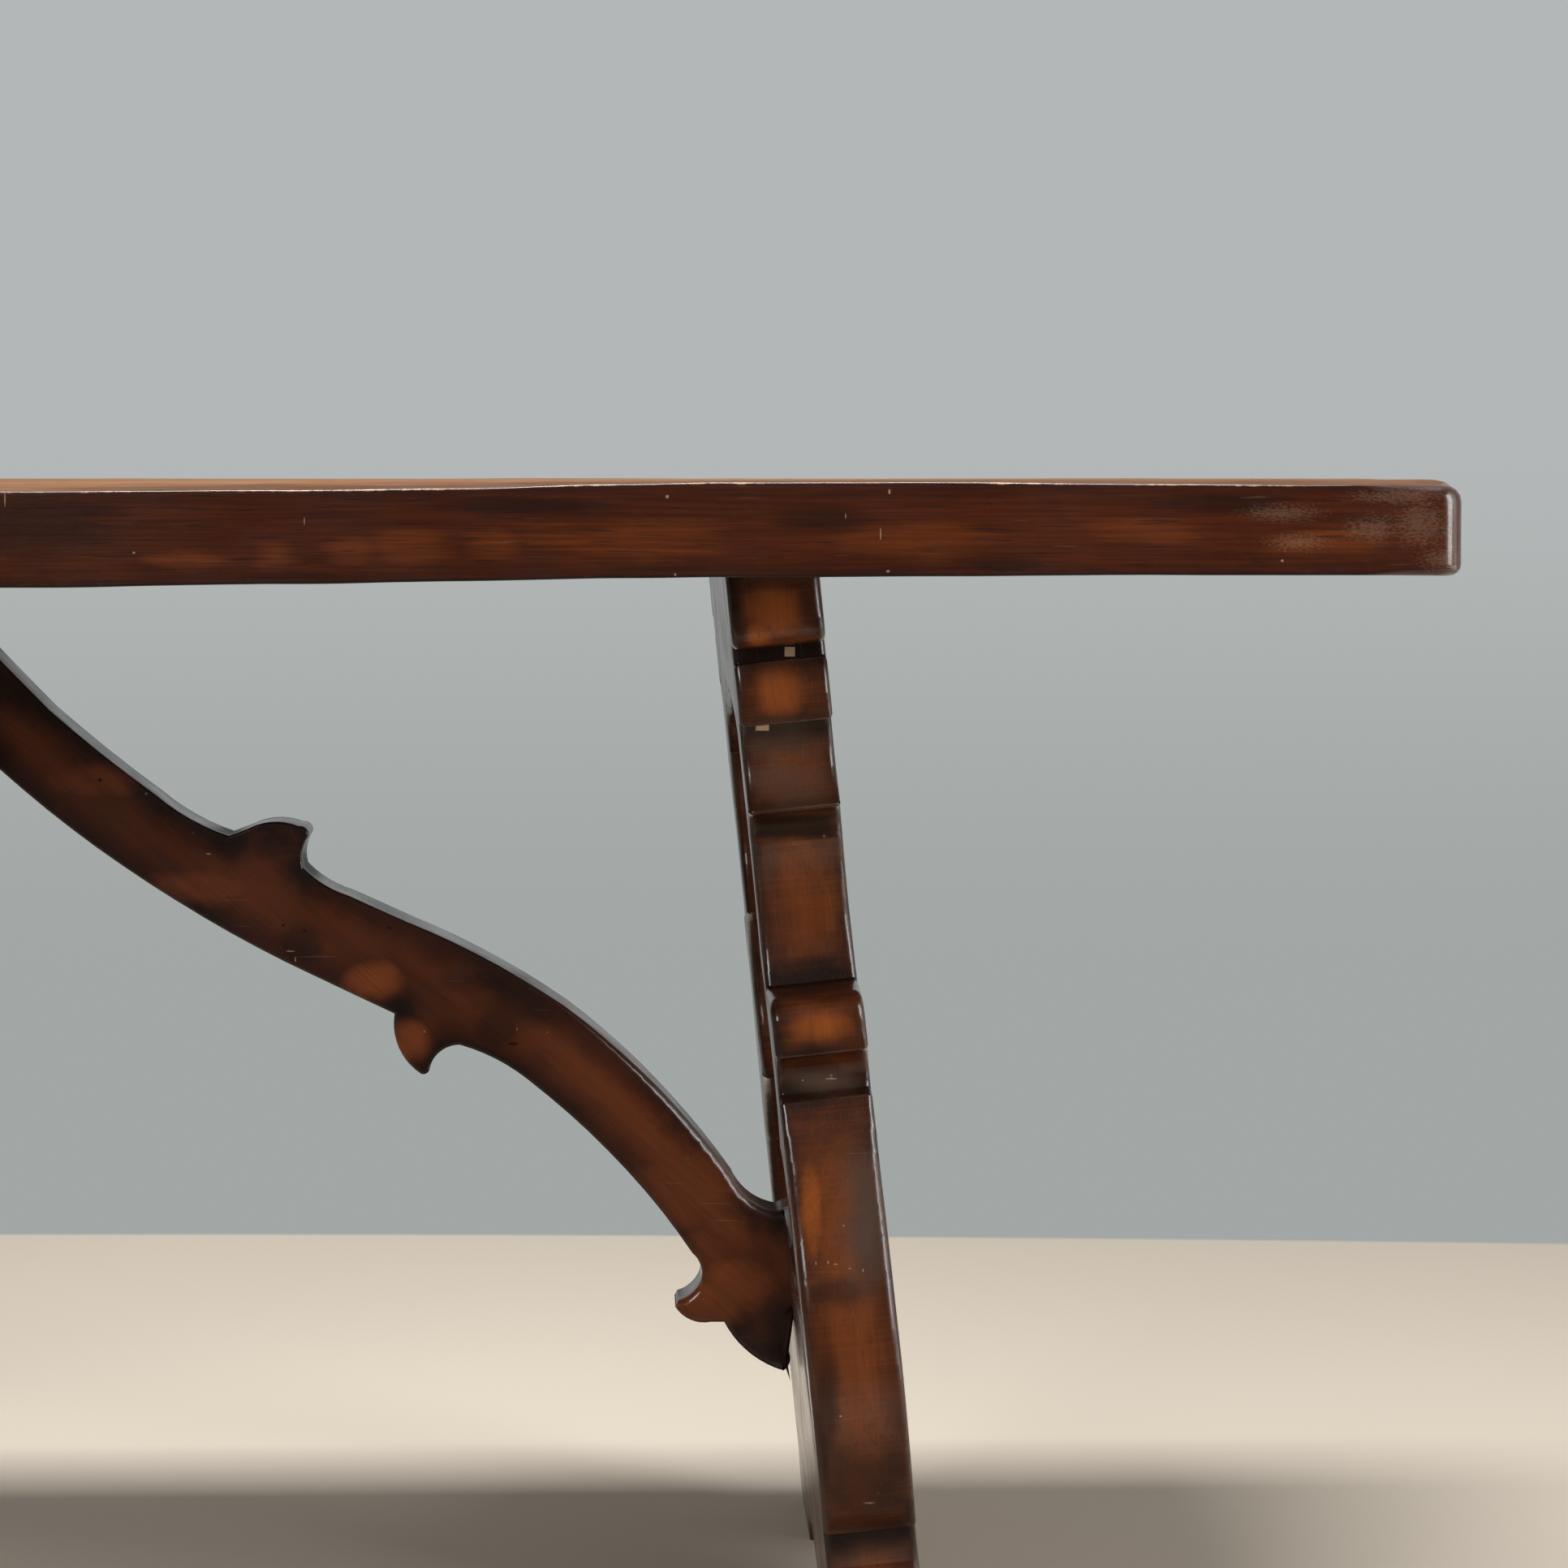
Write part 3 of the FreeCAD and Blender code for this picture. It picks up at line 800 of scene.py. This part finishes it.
wood_grain, graph, given, result = shared_group(
    "wood grain",
    {"Place": VECTOR},
    {"Figure": FLOAT, "Rings": FLOAT, "Streak": FLOAT, "Pore": FLOAT, "Sanding": FLOAT},
)
broad = graph.noise(graph.stretch(given["Place"], (2.4, 11, 11)), 1.0, 3.0, 0.55, 0.5)
graph.feed(result["Figure"], graph.span(broad, 0.32, 0.68))
askew = graph.stretch(given["Place"], (1, 1, 1), LOG_ASKEW, LOG_CENTRE)
from_centre = graph.vector_math("LENGTH", graph.vector_math("MULTIPLY", askew, (0, 1, 1)))
drift = graph.noise(graph.stretch(given["Place"], (1.6, 7, 7)), 1.0, 2.0)
drawn = graph.math("ADD", from_centre, graph.times(drift, 0.05))
swing = graph.math("SINE", graph.times(drawn, 2 * math.pi / RING_STEP))
graph.feed(result["Rings"], graph.span(swing, -0.4, 1.0))
fibre = graph.noise(graph.stretch(given["Place"], (13, 430, 430)), 1.0, 3.0, 0.6)
graph.feed(result["Streak"], graph.span(fibre, 0.33, 0.68))
dash = graph.noise(graph.stretch(given["Place"], (30, 620, 620)), 1.0, 1.0)
graph.feed(result["Pore"], graph.span(dash, 0.60, 0.72))
across = graph.noise(graph.stretch(given["Place"], (520, 40, 14)), 1.0, 2.0, 0.6)
graph.feed(result["Sanding"], graph.span(across, 0.42, 0.70))
print("Rings every", RING_STEP * 1000, "mm")


# %% [markdown]
# The maker left dark stain along the edges and rubbed it into the corners, and wiped the
# middles clean; the corners also get painted shade, because light reaches them less. Hands
# wore the arrises through it. Both could be painted by hand, but the distances that the
# mesh keeps give them to every piece at once, and noise makes sure that no border is even.

# %% Stain, painted shade and wear
hand_shading, graph, given, result = shared_group(
    "hand shading",
    {"Place": VECTOR, "Arris": FLOAT, "Corner": FLOAT},
    {"Dark": FLOAT, "Wear": FLOAT, "Middle": FLOAT, "Polish": FLOAT},
)
ragged = graph.math("SUBTRACT", graph.noise(given["Place"], 42.0, 3.0), 0.5)
beside = graph.math("ADD", given["Arris"], graph.times(ragged, 14.0))
near_edge = graph.span(beside, 1.0, 12.0, 1.0, 0.0)
patches = graph.span(graph.noise(given["Place"], 11.0, 2.0), 0.36, 0.62)
edge_stain = graph.times(near_edge, graph.math("ADD", 0.42, graph.times(patches, 0.48)))
# Near inner corners the colour darkens with stain and with painted shade, for light reaches them
# less.
within = graph.math("ADD", given["Corner"], graph.times(ragged, 18.0))
recess_stain_and_shade = graph.span(within, 4.0, 24.0, 0.95, 0.0)
graph.feed(result["Dark"], graph.most(edge_stain, recess_stain_and_shade))
chipped = graph.math("SUBTRACT", graph.noise(given["Place"], 160.0, 3.0, 0.7), 0.5)
frayed = graph.math("ADD", given["Arris"], graph.times(chipped, 2.6))
worn_line = graph.span(frayed, 0.5, 1.3, 1.0, 0.0)
some_places = graph.span(graph.noise(given["Place"], 17.0, 2.0), 0.42, 0.60)
graph.feed(result["Wear"], graph.times(worn_line, some_places))
graph.feed(result["Polish"], graph.span(given["Arris"], 2.0, 6.0, 1.0, 0.0))
graph.feed(result["Middle"], graph.span(graph.math("MINIMUM", beside, within), 8.0, 24.0))


# %% [markdown]
# Old varnish is glossy but never even: its roughness drifts, pores break it, and it has
# fine ripples. It is dull where the colour is dark with stain and painted shade, and shines
# most along the arrises, where hands polish it and leave tiny dents. Fine scratches and
# pale specks lie on it. The height goes to a Bump node, because the ripples are too fine
# to model.

# %% Varnish and small damage
varnish, graph, given, result = shared_group(
    "varnish",
    {"Place": VECTOR, "Dark": FLOAT, "Polish": FLOAT, "Streak": FLOAT, "Pore": FLOAT},
    {"Roughness": FLOAT, "Height": FLOAT, "Coat": FLOAT, "Scratch": FLOAT, "Speck": FLOAT},
)
cloudy = graph.noise(given["Place"], 19.0, 3.0)
rough = graph.span(cloudy, 0.3, 0.7, 0.27, 0.42)
rough = graph.math("ADD", rough, graph.times(given["Pore"], 0.2))
graph.feed(result["Roughness"], graph.math("ADD", rough, graph.times(given["Dark"], 0.15)))
film = graph.span(cloudy, 0.35, 0.7, 0.62, 0.42)
dulled = graph.math("SUBTRACT", 1.0, graph.times(graph.math("POWER", given["Dark"], 2.0), 0.85))
film = graph.most(graph.times(film, dulled), graph.times(given["Polish"], 0.95))
pocks = graph.span(graph.noise(given["Place"], 1300.0, 2.0), 0.50, 0.66)
dents = graph.times(pocks, given["Polish"])
unbroken = graph.math("SUBTRACT", 1.0, graph.times(dents, 0.5))
graph.feed(result["Coat"], graph.times(film, unbroken))
ripple = graph.noise(given["Place"], 75.0, 2.0)
peel = graph.noise(given["Place"], 430.0, 2.0)
height = graph.math("ADD", graph.times(ripple, 1.6), graph.times(peel, 0.20))
height = graph.math("ADD", height, graph.times(given["Streak"], 0.14))
height = graph.math("SUBTRACT", height, graph.times(dents, 0.06))
graph.feed(result["Height"], graph.math("SUBTRACT", height, graph.times(given["Pore"], 0.22)))
strokes = []
for turn, rate in ((0.5, 31.0), (1.9, 23.0)):
    lined = graph.stretch(given["Place"], (rate, rate * 26, rate * 26), (0.3, turn, turn * 0.7))
    line = graph.span(graph.noise(lined, 1.0, 0.0), 0.785, 0.82)
    here = graph.span(graph.noise(given["Place"], rate * 0.55, 1.0), 0.56, 0.64)
    strokes.append(graph.times(line, here))
graph.feed(result["Scratch"], graph.most(*strokes))
cells = graph.add("ShaderNodeTexVoronoi", {"Vector": given["Place"], "Scale": 70.0})
dots = graph.span(cells.outputs["Distance"], 0.04, 0.09, 1.0, 0.0)
few = graph.span(graph.noise(given["Place"], 36.0, 0.0), 0.66, 0.70)
graph.feed(result["Speck"], graph.times(dots, few))


# %% [markdown]
# Knots, filler chips, nicks and wiped patches sit at known places. A mark is a small
# ellipsoid or box with a ragged border around such a place, and one group gathers all the
# marks of one kind. They could be painted on an image, but a group stays sharp at any
# distance and needs no unwrapping.

# %% A group of marks
SOFT = (0.25, 1.0)
FIRM = (0.72, 1.05)


def marks_group(name, marks, border=FIRM, rate=300.0, reach=0.4, boxy=False, drawn=1.0):
    """A group whose mask is 1 inside ragged marks, given as centre and half sizes."""
    tree, graph, given, result = shared_group(name, {"Place": VECTOR}, {"Mask": FLOAT})
    along_grain = graph.vector_math("MULTIPLY", given["Place"], (drawn, 1, 1))
    ragged = graph.math("SUBTRACT", graph.noise(along_grain, rate, 2.0), 0.5)
    ragged = graph.times(ragged, reach)
    inside = []
    for centre, half in marks:
        apart = graph.vector_math("SUBTRACT", given["Place"], tuple(centre))
        away = graph.vector_math("DIVIDE", apart, half)
        if boxy:
            sides = graph.parts(graph.vector_math("ABSOLUTE", away))
            away = graph.most(sides["X"], sides["Y"], sides["Z"])
        else:
            away = graph.vector_math("LENGTH", away)
        inside.append(graph.span(graph.math("ADD", away, ragged), *border, 1.0, 0.0))
    graph.feed(result["Mask"], graph.most(*inside))
    return tree


def seen_marks(plane_y, deep, marks):
    """Marks from pixels: column, row, half width and half height in millimetres."""
    return [
        (seen_at(column, row, plane_y), (wide * MILLIMETRE, deep, high * MILLIMETRE))
        for column, row, wide, high in marks
    ]


print("A soft mark fades from", SOFT[0], "to", SOFT[1], "of its size")


# %% [markdown]
# The brace's side shows two big dark knots, a few pits and pale nicks. Its hooks and its
# lower end are wiped to a warm brown, and dark patches of stain and painted shade lie on it,
# most where it meets the leg. The left brace is out of sight and gets only those dark
# patches, turned round with it.

# %% Marks on the braces
BRACE_FRONT = -0.025

brace_marks = {
    "knots": seen_marks(BRACE_FRONT, 0.022, [(372, 1166, 19, 20), (612, 1264, 20, 19)]),
    "pits": seen_marks(BRACE_FRONT, 0.004, [
        (480, 1143, 1.6, 1.4), (349, 1140, 1.4, 1.0), (375, 1147, 1.3, 1.3),
        (123, 961, 1.5, 1.5), (632, 1286, 4, 1.2),
    ]),
    "pale": seen_marks(BRACE_FRONT, 0.004, [
        (523, 1271, 0.7, 0.8), (257, 1052, 2.0, 0.5), (358, 1172, 3.0, 0.5),
        (364, 1182, 0.5, 2.0), (637, 1268, 0.4, 1.2),
    ]),
    "warm": seen_marks(BRACE_FRONT, 0.03, [
        (505, 1284, 20, 22), (462, 1208, 30, 20), (876, 1606, 44, 28), (908, 1578, 36, 30),
    ]),
    "faint": seen_marks(BRACE_FRONT, 0.03, [
        (250, 1095, 60, 18), (120, 960, 50, 18), (845, 1462, 60, 50), (900, 1550, 60, 44),
    ]),
    # Dark patches of stain and painted shade, most where the brace meets the leg.
    "stain_and_shade": seen_marks(BRACE_FRONT, 0.03, [
        (970, 1634, 24, 28), (10, 850, 60, 26), (620, 1210, 60, 14),
        (640, 1235, 40, 26), (340, 1040, 24, 16), (930, 1500, 10, 20),
    ]),
}
turned = [(Vector((-place.x, -place.y, place.z)), half) for place, half in brace_marks["stain_and_shade"]]
left_brace_marks = {"stain_and_shade": turned}
print("The first knot lies at", [round(part, 3) for part in brace_marks["knots"][0][0]])


# %% [markdown]
# The leg's mouldings stand out differently, so each call names the plane on which its
# marks were seen. Each swelling is wiped warm in its middle. Under the top and under the
# ledges lie dark stain and painted shade, and the lips have dark bands of painted shade
# with stain beneath them. The hollows that face up have a grey painted sheen, a reflection
# of the room above. Two chips under the top are filled with something pale.

# %% Marks on the right leg
leg_marks = {
    "chips": seen_marks(-0.283, 0.03, [(974, 804, 3.4, 3.2)])
    + seen_marks(-0.262, 0.04, [(940, 898, 4.4, 2.0)]),
    "warm": seen_marks(-0.30, 0.05, [(955, 752, 24, 22), (936, 782, 12, 13)])
    + seen_marks(-0.29, 0.05, [(964, 850, 26, 24), (1010, 1262, 27, 15)])
    + seen_marks(-0.32, 0.06, [(1001, 1490, 10, 44)]),
    "faint": seen_marks(-0.25, 0.06, [(1012, 1130, 20, 42)])
    + seen_marks(-0.32, 0.06, [(1060, 1668, 27, 34)]),
    # Dark bands beneath the lips: painted shade from the overhang, with stain.
    "shaded_bands": seen_marks(-0.27, 0.06, [(978, 1022, 40, 10.5), (955, 806, 40, 4.5)])
    + seen_marks(-0.27, 0.05, [(1015, 1337, 34, 5)]),
    # Dark patches: stain, with painted shadow under the top and painted shade under the ledges.
    "stain_and_shade": seen_marks(-0.27, 0.05, [
        (990, 745, 14, 16), (1000, 1190, 34, 16), (947, 1085, 16, 60), (1012, 1318, 40, 22),
        (1000, 1221, 44, 10), (909, 848, 5, 20), (965, 720, 44, 6),
    ])
    + seen_marks(-0.33, 0.06, [
        (1075, 1510, 17, 60), (1070, 1835, 50, 48), (1025, 1402, 48, 34), (1034, 1590, 30, 14),
        (1017, 1735, 11, 62), (1012, 1780, 9, 60), (1046, 1165, 6, 18),
    ]),
    # Grey patches in the hollows: a painted sheen, the reflection of the room above.
    "painted_sheen": seen_marks(-0.27, 0.05, [
        (968, 918, 42, 22), (976, 968, 46, 26), (950, 1080, 10, 34), (1015, 1330, 30, 10),
    ])
    + seen_marks(-0.33, 0.06, [(1066, 1480, 24, 84), (1075, 1912, 40, 14)]),
    "pale": seen_marks(-0.29, 0.03, [
        (1025, 1332, 4, 0.6), (990, 1334, 0.7, 0.6), (1008, 1213, 0.6, 0.6),
    ])
    + seen_marks(-0.335, 0.03, [
        (1074, 1862, 5.5, 1.2), (1036, 1745, 0.9, 0.6), (1006, 1559, 0.4, 1.4),
        (1021, 1558, 0.5, 1.1), (1030, 1560, 1.3, 0.4), (1048, 1565, 1.2, 0.4),
        (1064, 1567, 0.4, 1.0), (1041, 1515, 0.5, 1.0),
    ]),
}
print("Marks on the leg:", {kind: len(marks) for kind, marks in leg_marks.items()})


# %% [markdown]
# The front edge of the top has a row of warm patches, a few darker ones, short nicks, and
# dry pale scuffs near its right end. Its corners are polished by hands. Of the upper face
# only the front rim is seen, and it darkens to the right.

# %% Marks on the top
TOP_FRONT = -0.40
CORNER_PLACES = [Vector((x, y, 0.751)) for x in (-0.997, 0.997) for y in (-0.397, 0.397)]

top_marks = {
    "warm": seen_marks(TOP_FRONT, 0.02, [
        (230, 690, 34, 8), (340, 686, 20, 12), (430, 678, 26, 11), (505, 675, 34, 15),
        (610, 670, 24, 12), (770, 664, 90, 18), (1130, 665, 70, 16),
        (1410, 655, 60, 12), (1640, 668, 60, 12),
    ]),
    "stain_and_shade": seen_marks(TOP_FRONT, 0.02, [
        (1240, 698, 34, 7), (40, 650, 90, 26), (1010, 640, 40, 12),
        (1500, 620, 60, 8), (640, 622, 90, 8),
    ]),
    "scuffs": seen_marks(TOP_FRONT, 0.02, [
        (1580, 632, 22, 5), (1690, 652, 16, 7), (1750, 645, 16, 14),
        (1780, 690, 14, 9), (1600, 668, 18, 5), (1720, 612, 26, 4),
    ]),
    "pale": seen_marks(TOP_FRONT, 0.006, [
        (6, 615, 0.4, 4.5), (375, 642, 0.3, 2.6), (1042, 636, 0.3, 1.8),
        (1085, 658, 0.4, 4), (1096, 606, 0.8, 1.6), (822, 612, 1.1, 1.2),
        (165, 681, 1.0, 0.7), (1580, 691, 0.9, 0.9), (832, 708, 0.8, 0.8),
        (1094, 704, 1.2, 0.8),
    ]),
    "polish": [(corner, (0.026, 0.026, 0.06)) for corner in CORNER_PLACES],
}
board_marks = {
    "stain_and_shade": [
        (Vector((0.80, -0.38, 0.78)), (0.62, 0.14, 0.06)),
        (Vector((0.30, -0.38, 0.78)), (0.24, 0.06, 0.06)),
    ]
}
print("Marks on the top:", {kind: len(marks) for kind, marks in top_marks.items()})


# %% [markdown]
# Three tones make a walnut: the deep stain, which also stands for painted shade, the brown
# of the wood, and a warm orange where it is wiped. Bare worn wood and the grey painted
# sheen in the hollows are the same on every piece. The shares say how strongly each layer
# shows on a kind of piece. The top's edges have clear streaks, and the carved pieces have
# dark borders instead.

# %% Tones and shares
BARE = (0.46, 0.31, 0.20)
# The grey of the painted sheen in the hollows.
SHEEN_GREY = (0.088, 0.053, 0.037)
TONES = {
    "top": ((0.009, 0.0030, 0.0015), (0.050, 0.0105, 0.0032), (0.100, 0.0235, 0.0048)),
    # The pale board tones hold painted light and a painted reflection as well as bleached wood.
    "board": ((0.055, 0.018, 0.006), (0.21, 0.094, 0.044), (0.42, 0.215, 0.100)),
    "leg": ((0.008, 0.0030, 0.0014), (0.052, 0.0145, 0.0060), (0.235, 0.060, 0.0110)),
    "brace": ((0.008, 0.0030, 0.0015), (0.028, 0.0068, 0.0030), (0.215, 0.053, 0.0130)),
}
SHARES = {
    "top": {"rings": 0.10, "streak": 0.46, "pore": 0.60, "wear": 0.85, "edge": 0.45},
    "board": {"rings": 0.30, "streak": 0.34, "pore": 0.55, "wear": 0.75, "edge": 0.10},
    "leg": {"rings": 0.12, "streak": 0.16, "pore": 0.25, "wear": 0.06, "edge": 0.95},
    "brace": {"rings": 0.08, "streak": 0.14, "pore": 0.22, "wear": 0.05, "edge": 1.00},
}
SANDED = {"leg": 0.16}
print("Tones for", ", ".join(TONES))


# %% [markdown]
# Each kind of mark has a strength and a border. Wiped patches, dark patches of stain and
# painted shade, and the painted sheen are clouds that fade out, and on the boards they are
# drawn along the grain. Chips and the bands of painted shade and stain have firm sides. The
# finish asks for its masks by name, and a piece without such marks gives none.

# %% Looks of the marks
CLOUDS = {"border": SOFT, "rate": 45.0, "reach": 0.6}
LONG_CLOUDS = {"border": SOFT, "rate": 150.0, "reach": 1.1, "drawn": 0.10}
LOW_HEIGHTS = (0.738, 0.750)
LOW_REACH = (1.0, 2.8)


def mark_looks(kind):
    """The strength of each kind of mark, and how its border runs."""
    cloud = LONG_CLOUDS if kind in ("top", "board") else CLOUDS
    return {
        "warm": (0.95, cloud),
        "faint": (0.45, cloud),
        # Dark patches and bands carry painted shade as well as stain; the grey patches are a
        # painted sheen.
        "stain_and_shade": (0.62, cloud),
        "shaded_bands": (0.90, {"border": (0.45, 1.10), "rate": 90.0, "reach": 0.35, "boxy": True}),
        "knots": (0.55, {"border": (0.45, 1.0), "rate": 90.0}),
        "pits": (0.90, {}),
        "painted_sheen": (0.80, {**cloud, "border": (0.0, 1.05)}),
        "polish": (1.0, {"border": (0.5, 1.0), "rate": 60.0}),
        "scuffs": (0.12, {"border": (0.0, 1.3), "rate": 1100.0, "reach": 3.4, "drawn": 0.40}),
        "pale": (0.50, {"rate": 700.0, "reach": 0.8}),
        "chips": (0.95, {"border": (0.86, 1.0), "rate": 500.0, "reach": 0.2, "boxy": True}),
    }


def placed(graph, tree, **inputs):
    """Put a shared group into a graph and give its outputs."""
    return graph.add("ShaderNodeGroup", inputs, node_tree=tree).outputs


def shaded_lower_edge(graph, place, to_arris):
    """The lower arris of the top, which faces down: a mask of painted shade, where no hand rubs."""
    low = graph.span(graph.parts(place)["Z"], *LOW_HEIGHTS, 1.0, 0.0)
    return graph.times(low, graph.span(to_arris, *LOW_REACH, 1.0, 0.0))


print("Kinds of marks:", ", ".join(mark_looks("leg")))


# %% [markdown]
# One function mixes the layers into a walnut finish. Masks come first: what is wiped,
# what is dark with stain and painted shade, what is worn and what is polished. Then the
# colour is laid on: grain, stain with painted shade, the painted sheen, wear, scratches,
# chips. What is the same all over, such as the coat's own roughness, is set on the shader
# itself. The upper face gets no coat, because light and cloths have dulled it.

# %% The walnut finish
COAT_ROUGHNESS = 0.16
SPECULAR_LEVEL = 0.14
DULL_LEVEL = 0.05
DULL_ROUGHNESS = 0.16
BUMP_STRENGTH = 0.6
BUMP_DISTANCE = 0.0006
PLANK_SHIFT = (3.7, 5.3, 2.9)


def walnut(name, kind, turn, marks=None):
    """A walnut material whose grain runs along the X axis of the turned coordinates."""
    deep, brown, orange = TONES[kind]
    share = SHARES[kind]
    looks = mark_looks(kind)
    marks = marks or {}
    material = bpy.data.materials.new(name)
    graph = empty_graph(material)
    place = graph.coordinates()
    to_arris, to_corner, plank = (
        graph.add("ShaderNodeAttribute", attribute_name=label).outputs["Fac"]
        for label in ("to_arris", "to_corner", "plank")
    )

    def masks(*labels):
        for label in labels:
            if label in marks:
                amount, options = looks[label]
                tree = marks_group(f"{name} {label}", marks[label], **options)
                yield graph.times(placed(graph, tree, Place=place)["Mask"], amount)

    apart = graph.vector_math("MULTIPLY", plank, PLANK_SHIFT)
    own = graph.vector_math("ADD", graph.stretch(place, (1, 1, 1), turn), apart)
    around = graph.vector_math("ADD", place, apart)
    figure = placed(graph, wood_grain, Place=own)
    shade = placed(graph, hand_shading, Place=around, Arris=to_arris, Corner=to_corner)
    middle = graph.math("ADD", 0.14, graph.times(shade["Middle"], 0.34))
    wiped = graph.times(figure["Figure"], middle)
    dark = graph.times(shade["Dark"], share["edge"])
    worn = graph.times(shade["Wear"], share["wear"])
    for mask in masks("warm", "faint"):
        wiped = graph.most(wiped, mask)
        dark = graph.times(dark, graph.math("SUBTRACT", 1.0, graph.times(mask, 0.85)))
    # Stain, bands, knots and pits darken the colour; the stain and the bands also carry painted
    # shade.
    for mask in masks("stain_and_shade", "shaded_bands", "knots", "pits"):
        dark = graph.most(dark, mask)
    if kind == "top":
        # Painted shade along the top's lower arris, which faces down; no wear is drawn there.
        lower_shade = shaded_lower_edge(graph, place, to_arris)
        dark = graph.most(dark, graph.times(lower_shade, 0.92))
        worn = graph.times(worn, graph.math("SUBTRACT", 1.0, lower_shade))
    polish = graph.most(shade["Polish"], *masks("polish"))
    texture = {"Streak": figure["Streak"], "Pore": figure["Pore"]}
    skin = placed(graph, varnish, Place=around, Dark=dark, Polish=polish, **texture)
    color = graph.blend(wiped, brown, orange)
    color = graph.blend(graph.times(figure["Rings"], share["rings"]), color, deep)
    streaks = graph.times(figure["Streak"], share["streak"])
    lighter = graph.math("ADD", 1 - share["streak"] / 2, streaks)
    color = graph.vector_math("MULTIPLY", color, lighter)
    color = graph.blend(graph.times(figure["Pore"], share["pore"]), color, deep)
    color = graph.blend(graph.times(figure["Sanding"], SANDED.get(kind, 0.0)), color, orange)
    color = graph.blend(dark, color, deep)
    # The painted sheen: a grey reflection of the room laid into the colour of the hollows.
    for mask in masks("painted_sheen"):
        color = graph.blend(mask, color, SHEEN_GREY)
    color = graph.blend(worn, color, BARE)
    color = graph.blend(graph.times(skin["Scratch"], 0.07), color, BARE)
    color = graph.blend(graph.times(skin["Speck"], 0.22), color, BARE)
    for mask in masks("scuffs", "pale", "chips"):
        color = graph.blend(mask, color, BARE)
    wood = principled(graph, color, skin["Height"], BUMP_STRENGTH, BUMP_DISTANCE)
    graph.feed(wood["Coat Roughness"], COAT_ROUGHNESS)
    if kind == "board":
        graph.feed(wood["Roughness"], graph.math("ADD", skin["Roughness"], DULL_ROUGHNESS))
        graph.feed(wood["Specular IOR Level"], DULL_LEVEL)
    else:
        graph.feed(wood["Roughness"], skin["Roughness"])
        graph.feed(wood["Coat Weight"], skin["Coat"])
        graph.feed(wood["Specular IOR Level"], SPECULAR_LEVEL)
    return material


print("The coat's roughness is", COAT_ROUGHNESS)


# %% [markdown]
# The grain runs along the boards of the top, up the leaning planks and along each brace,
# so every finish turns its coordinates to match. Only the right leg and the right brace
# have marks of their own, because the picture shows no others.

# %% All walnut finishes
QUARTER = math.pi / 2
BRACE_RISE = math.atan2(0.522, 0.583)

top_walnut = walnut("top_walnut", "top", (0, 0, 0), top_marks)
board_walnut_with_painted_light = walnut("board_walnut_with_painted_light", "board", (0, 0, 0), board_marks)
leg_walnut = {
    "right": walnut("right_trestle_walnut", "leg", (0, QUARTER + SPLAY, 0), leg_marks),
    "left": walnut("left_trestle_walnut", "leg", (0, QUARTER - SPLAY, 0)),
}
brace_walnut = {
    "right": walnut("right_brace_walnut", "brace", (0, math.pi - BRACE_RISE, 0), brace_marks),
    "left": walnut("left_brace_walnut", "brace", (0, BRACE_RISE, 0), left_brace_marks),
}
batten_walnut = walnut("batten_walnut", "brace", (0, 0, -QUARTER))
print("Walnut finishes:", [item.name for item in bpy.data.materials if "walnut" in item.name])


# %% [markdown]
# Every wooden piece is dressed now. The upper face of the top is paler than its edges:
# light and cloths have bleached and dulled it, and its pale colour also holds painted
# light from above and a painted reflection of the bright wall. So faces that look straight
# up get a second material, and the round arrises keep the finish of the edges. The front
# board sags as well.

# %% Dress the boards, trestles, braces and batten
UPWARD = 0.985
FINE, COARSE = GRID_STEPS["fine"], GRID_STEPS["coarse"]

for node in ("top_front_board", "top_middle_board", "top_back_board"):
    shift = sag if node == "top_front_board" else None
    board = dress(node, top_walnut, top_widths, COARSE, shift)
    board.data.materials.append(board_walnut_with_painted_light)
    upper = [int(face.normal.z > UPWARD) for face in board.data.polygons]
    board.data.polygons.foreach_set("material_index", upper)
for end in ("right", "left"):
    for part in ("front_post", "back_post", "head_block", "bridge"):
        dress(f"{end}_trestle_{part}", leg_walnut[end], plank_widths, FINE)
    dress(f"{end}_brace", brace_walnut[end], brace_widths, FINE)
dress("centre_batten", batten_walnut, plain_widths, COARSE)


# %% [markdown]
# Tenons, tongues and screws stay as the solids made them, because their shapes are right
# and only their ends can ever be seen. The tenons and tongues get plain walnut with the
# shared grain, and the screws a tarnished steel.

# %% Finish the joinery
joinery_wood = bpy.data.materials.new("joinery_wood")
graph = empty_graph(joinery_wood)
figure = placed(graph, wood_grain, Place=graph.coordinates())
color = graph.blend(figure["Rings"], (0.11, 0.040, 0.015), (0.055, 0.019, 0.008))
color = graph.blend(graph.times(figure["Pore"], 0.6), color, (0.012, 0.005, 0.003))
wood = principled(graph, color, figure["Pore"], 0.4, 0.0003)
graph.feed(wood["Roughness"], graph.span(figure["Streak"], 0.0, 1.0, 0.5, 0.65))

screw_steel = bpy.data.materials.new("screw_steel")
graph = empty_graph(screw_steel)
tarnish = graph.noise(graph.coordinates(), 320.0, 3.0)
color = graph.blend(graph.span(tarnish, 0.35, 0.65), (0.42, 0.40, 0.37), (0.20, 0.17, 0.14))
brushed = graph.noise(graph.stretch(graph.coordinates(), (400, 2600, 400)), 1.0, 1.0)
steel = principled(graph, color, brushed, 0.3, 0.0001)
graph.feed(steel["Roughness"], graph.span(tarnish, 0.3, 0.7, 0.28, 0.5))
graph.feed(steel["Metallic"], 1.0)

for node in JOINERY:
    finish = screw_steel if node == "batten_screws" else joinery_wood
    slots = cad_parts[node].data.materials
    slots.clear()
    slots.append(finish)
    print(node, "is finished in", finish.name)


# %% [markdown]
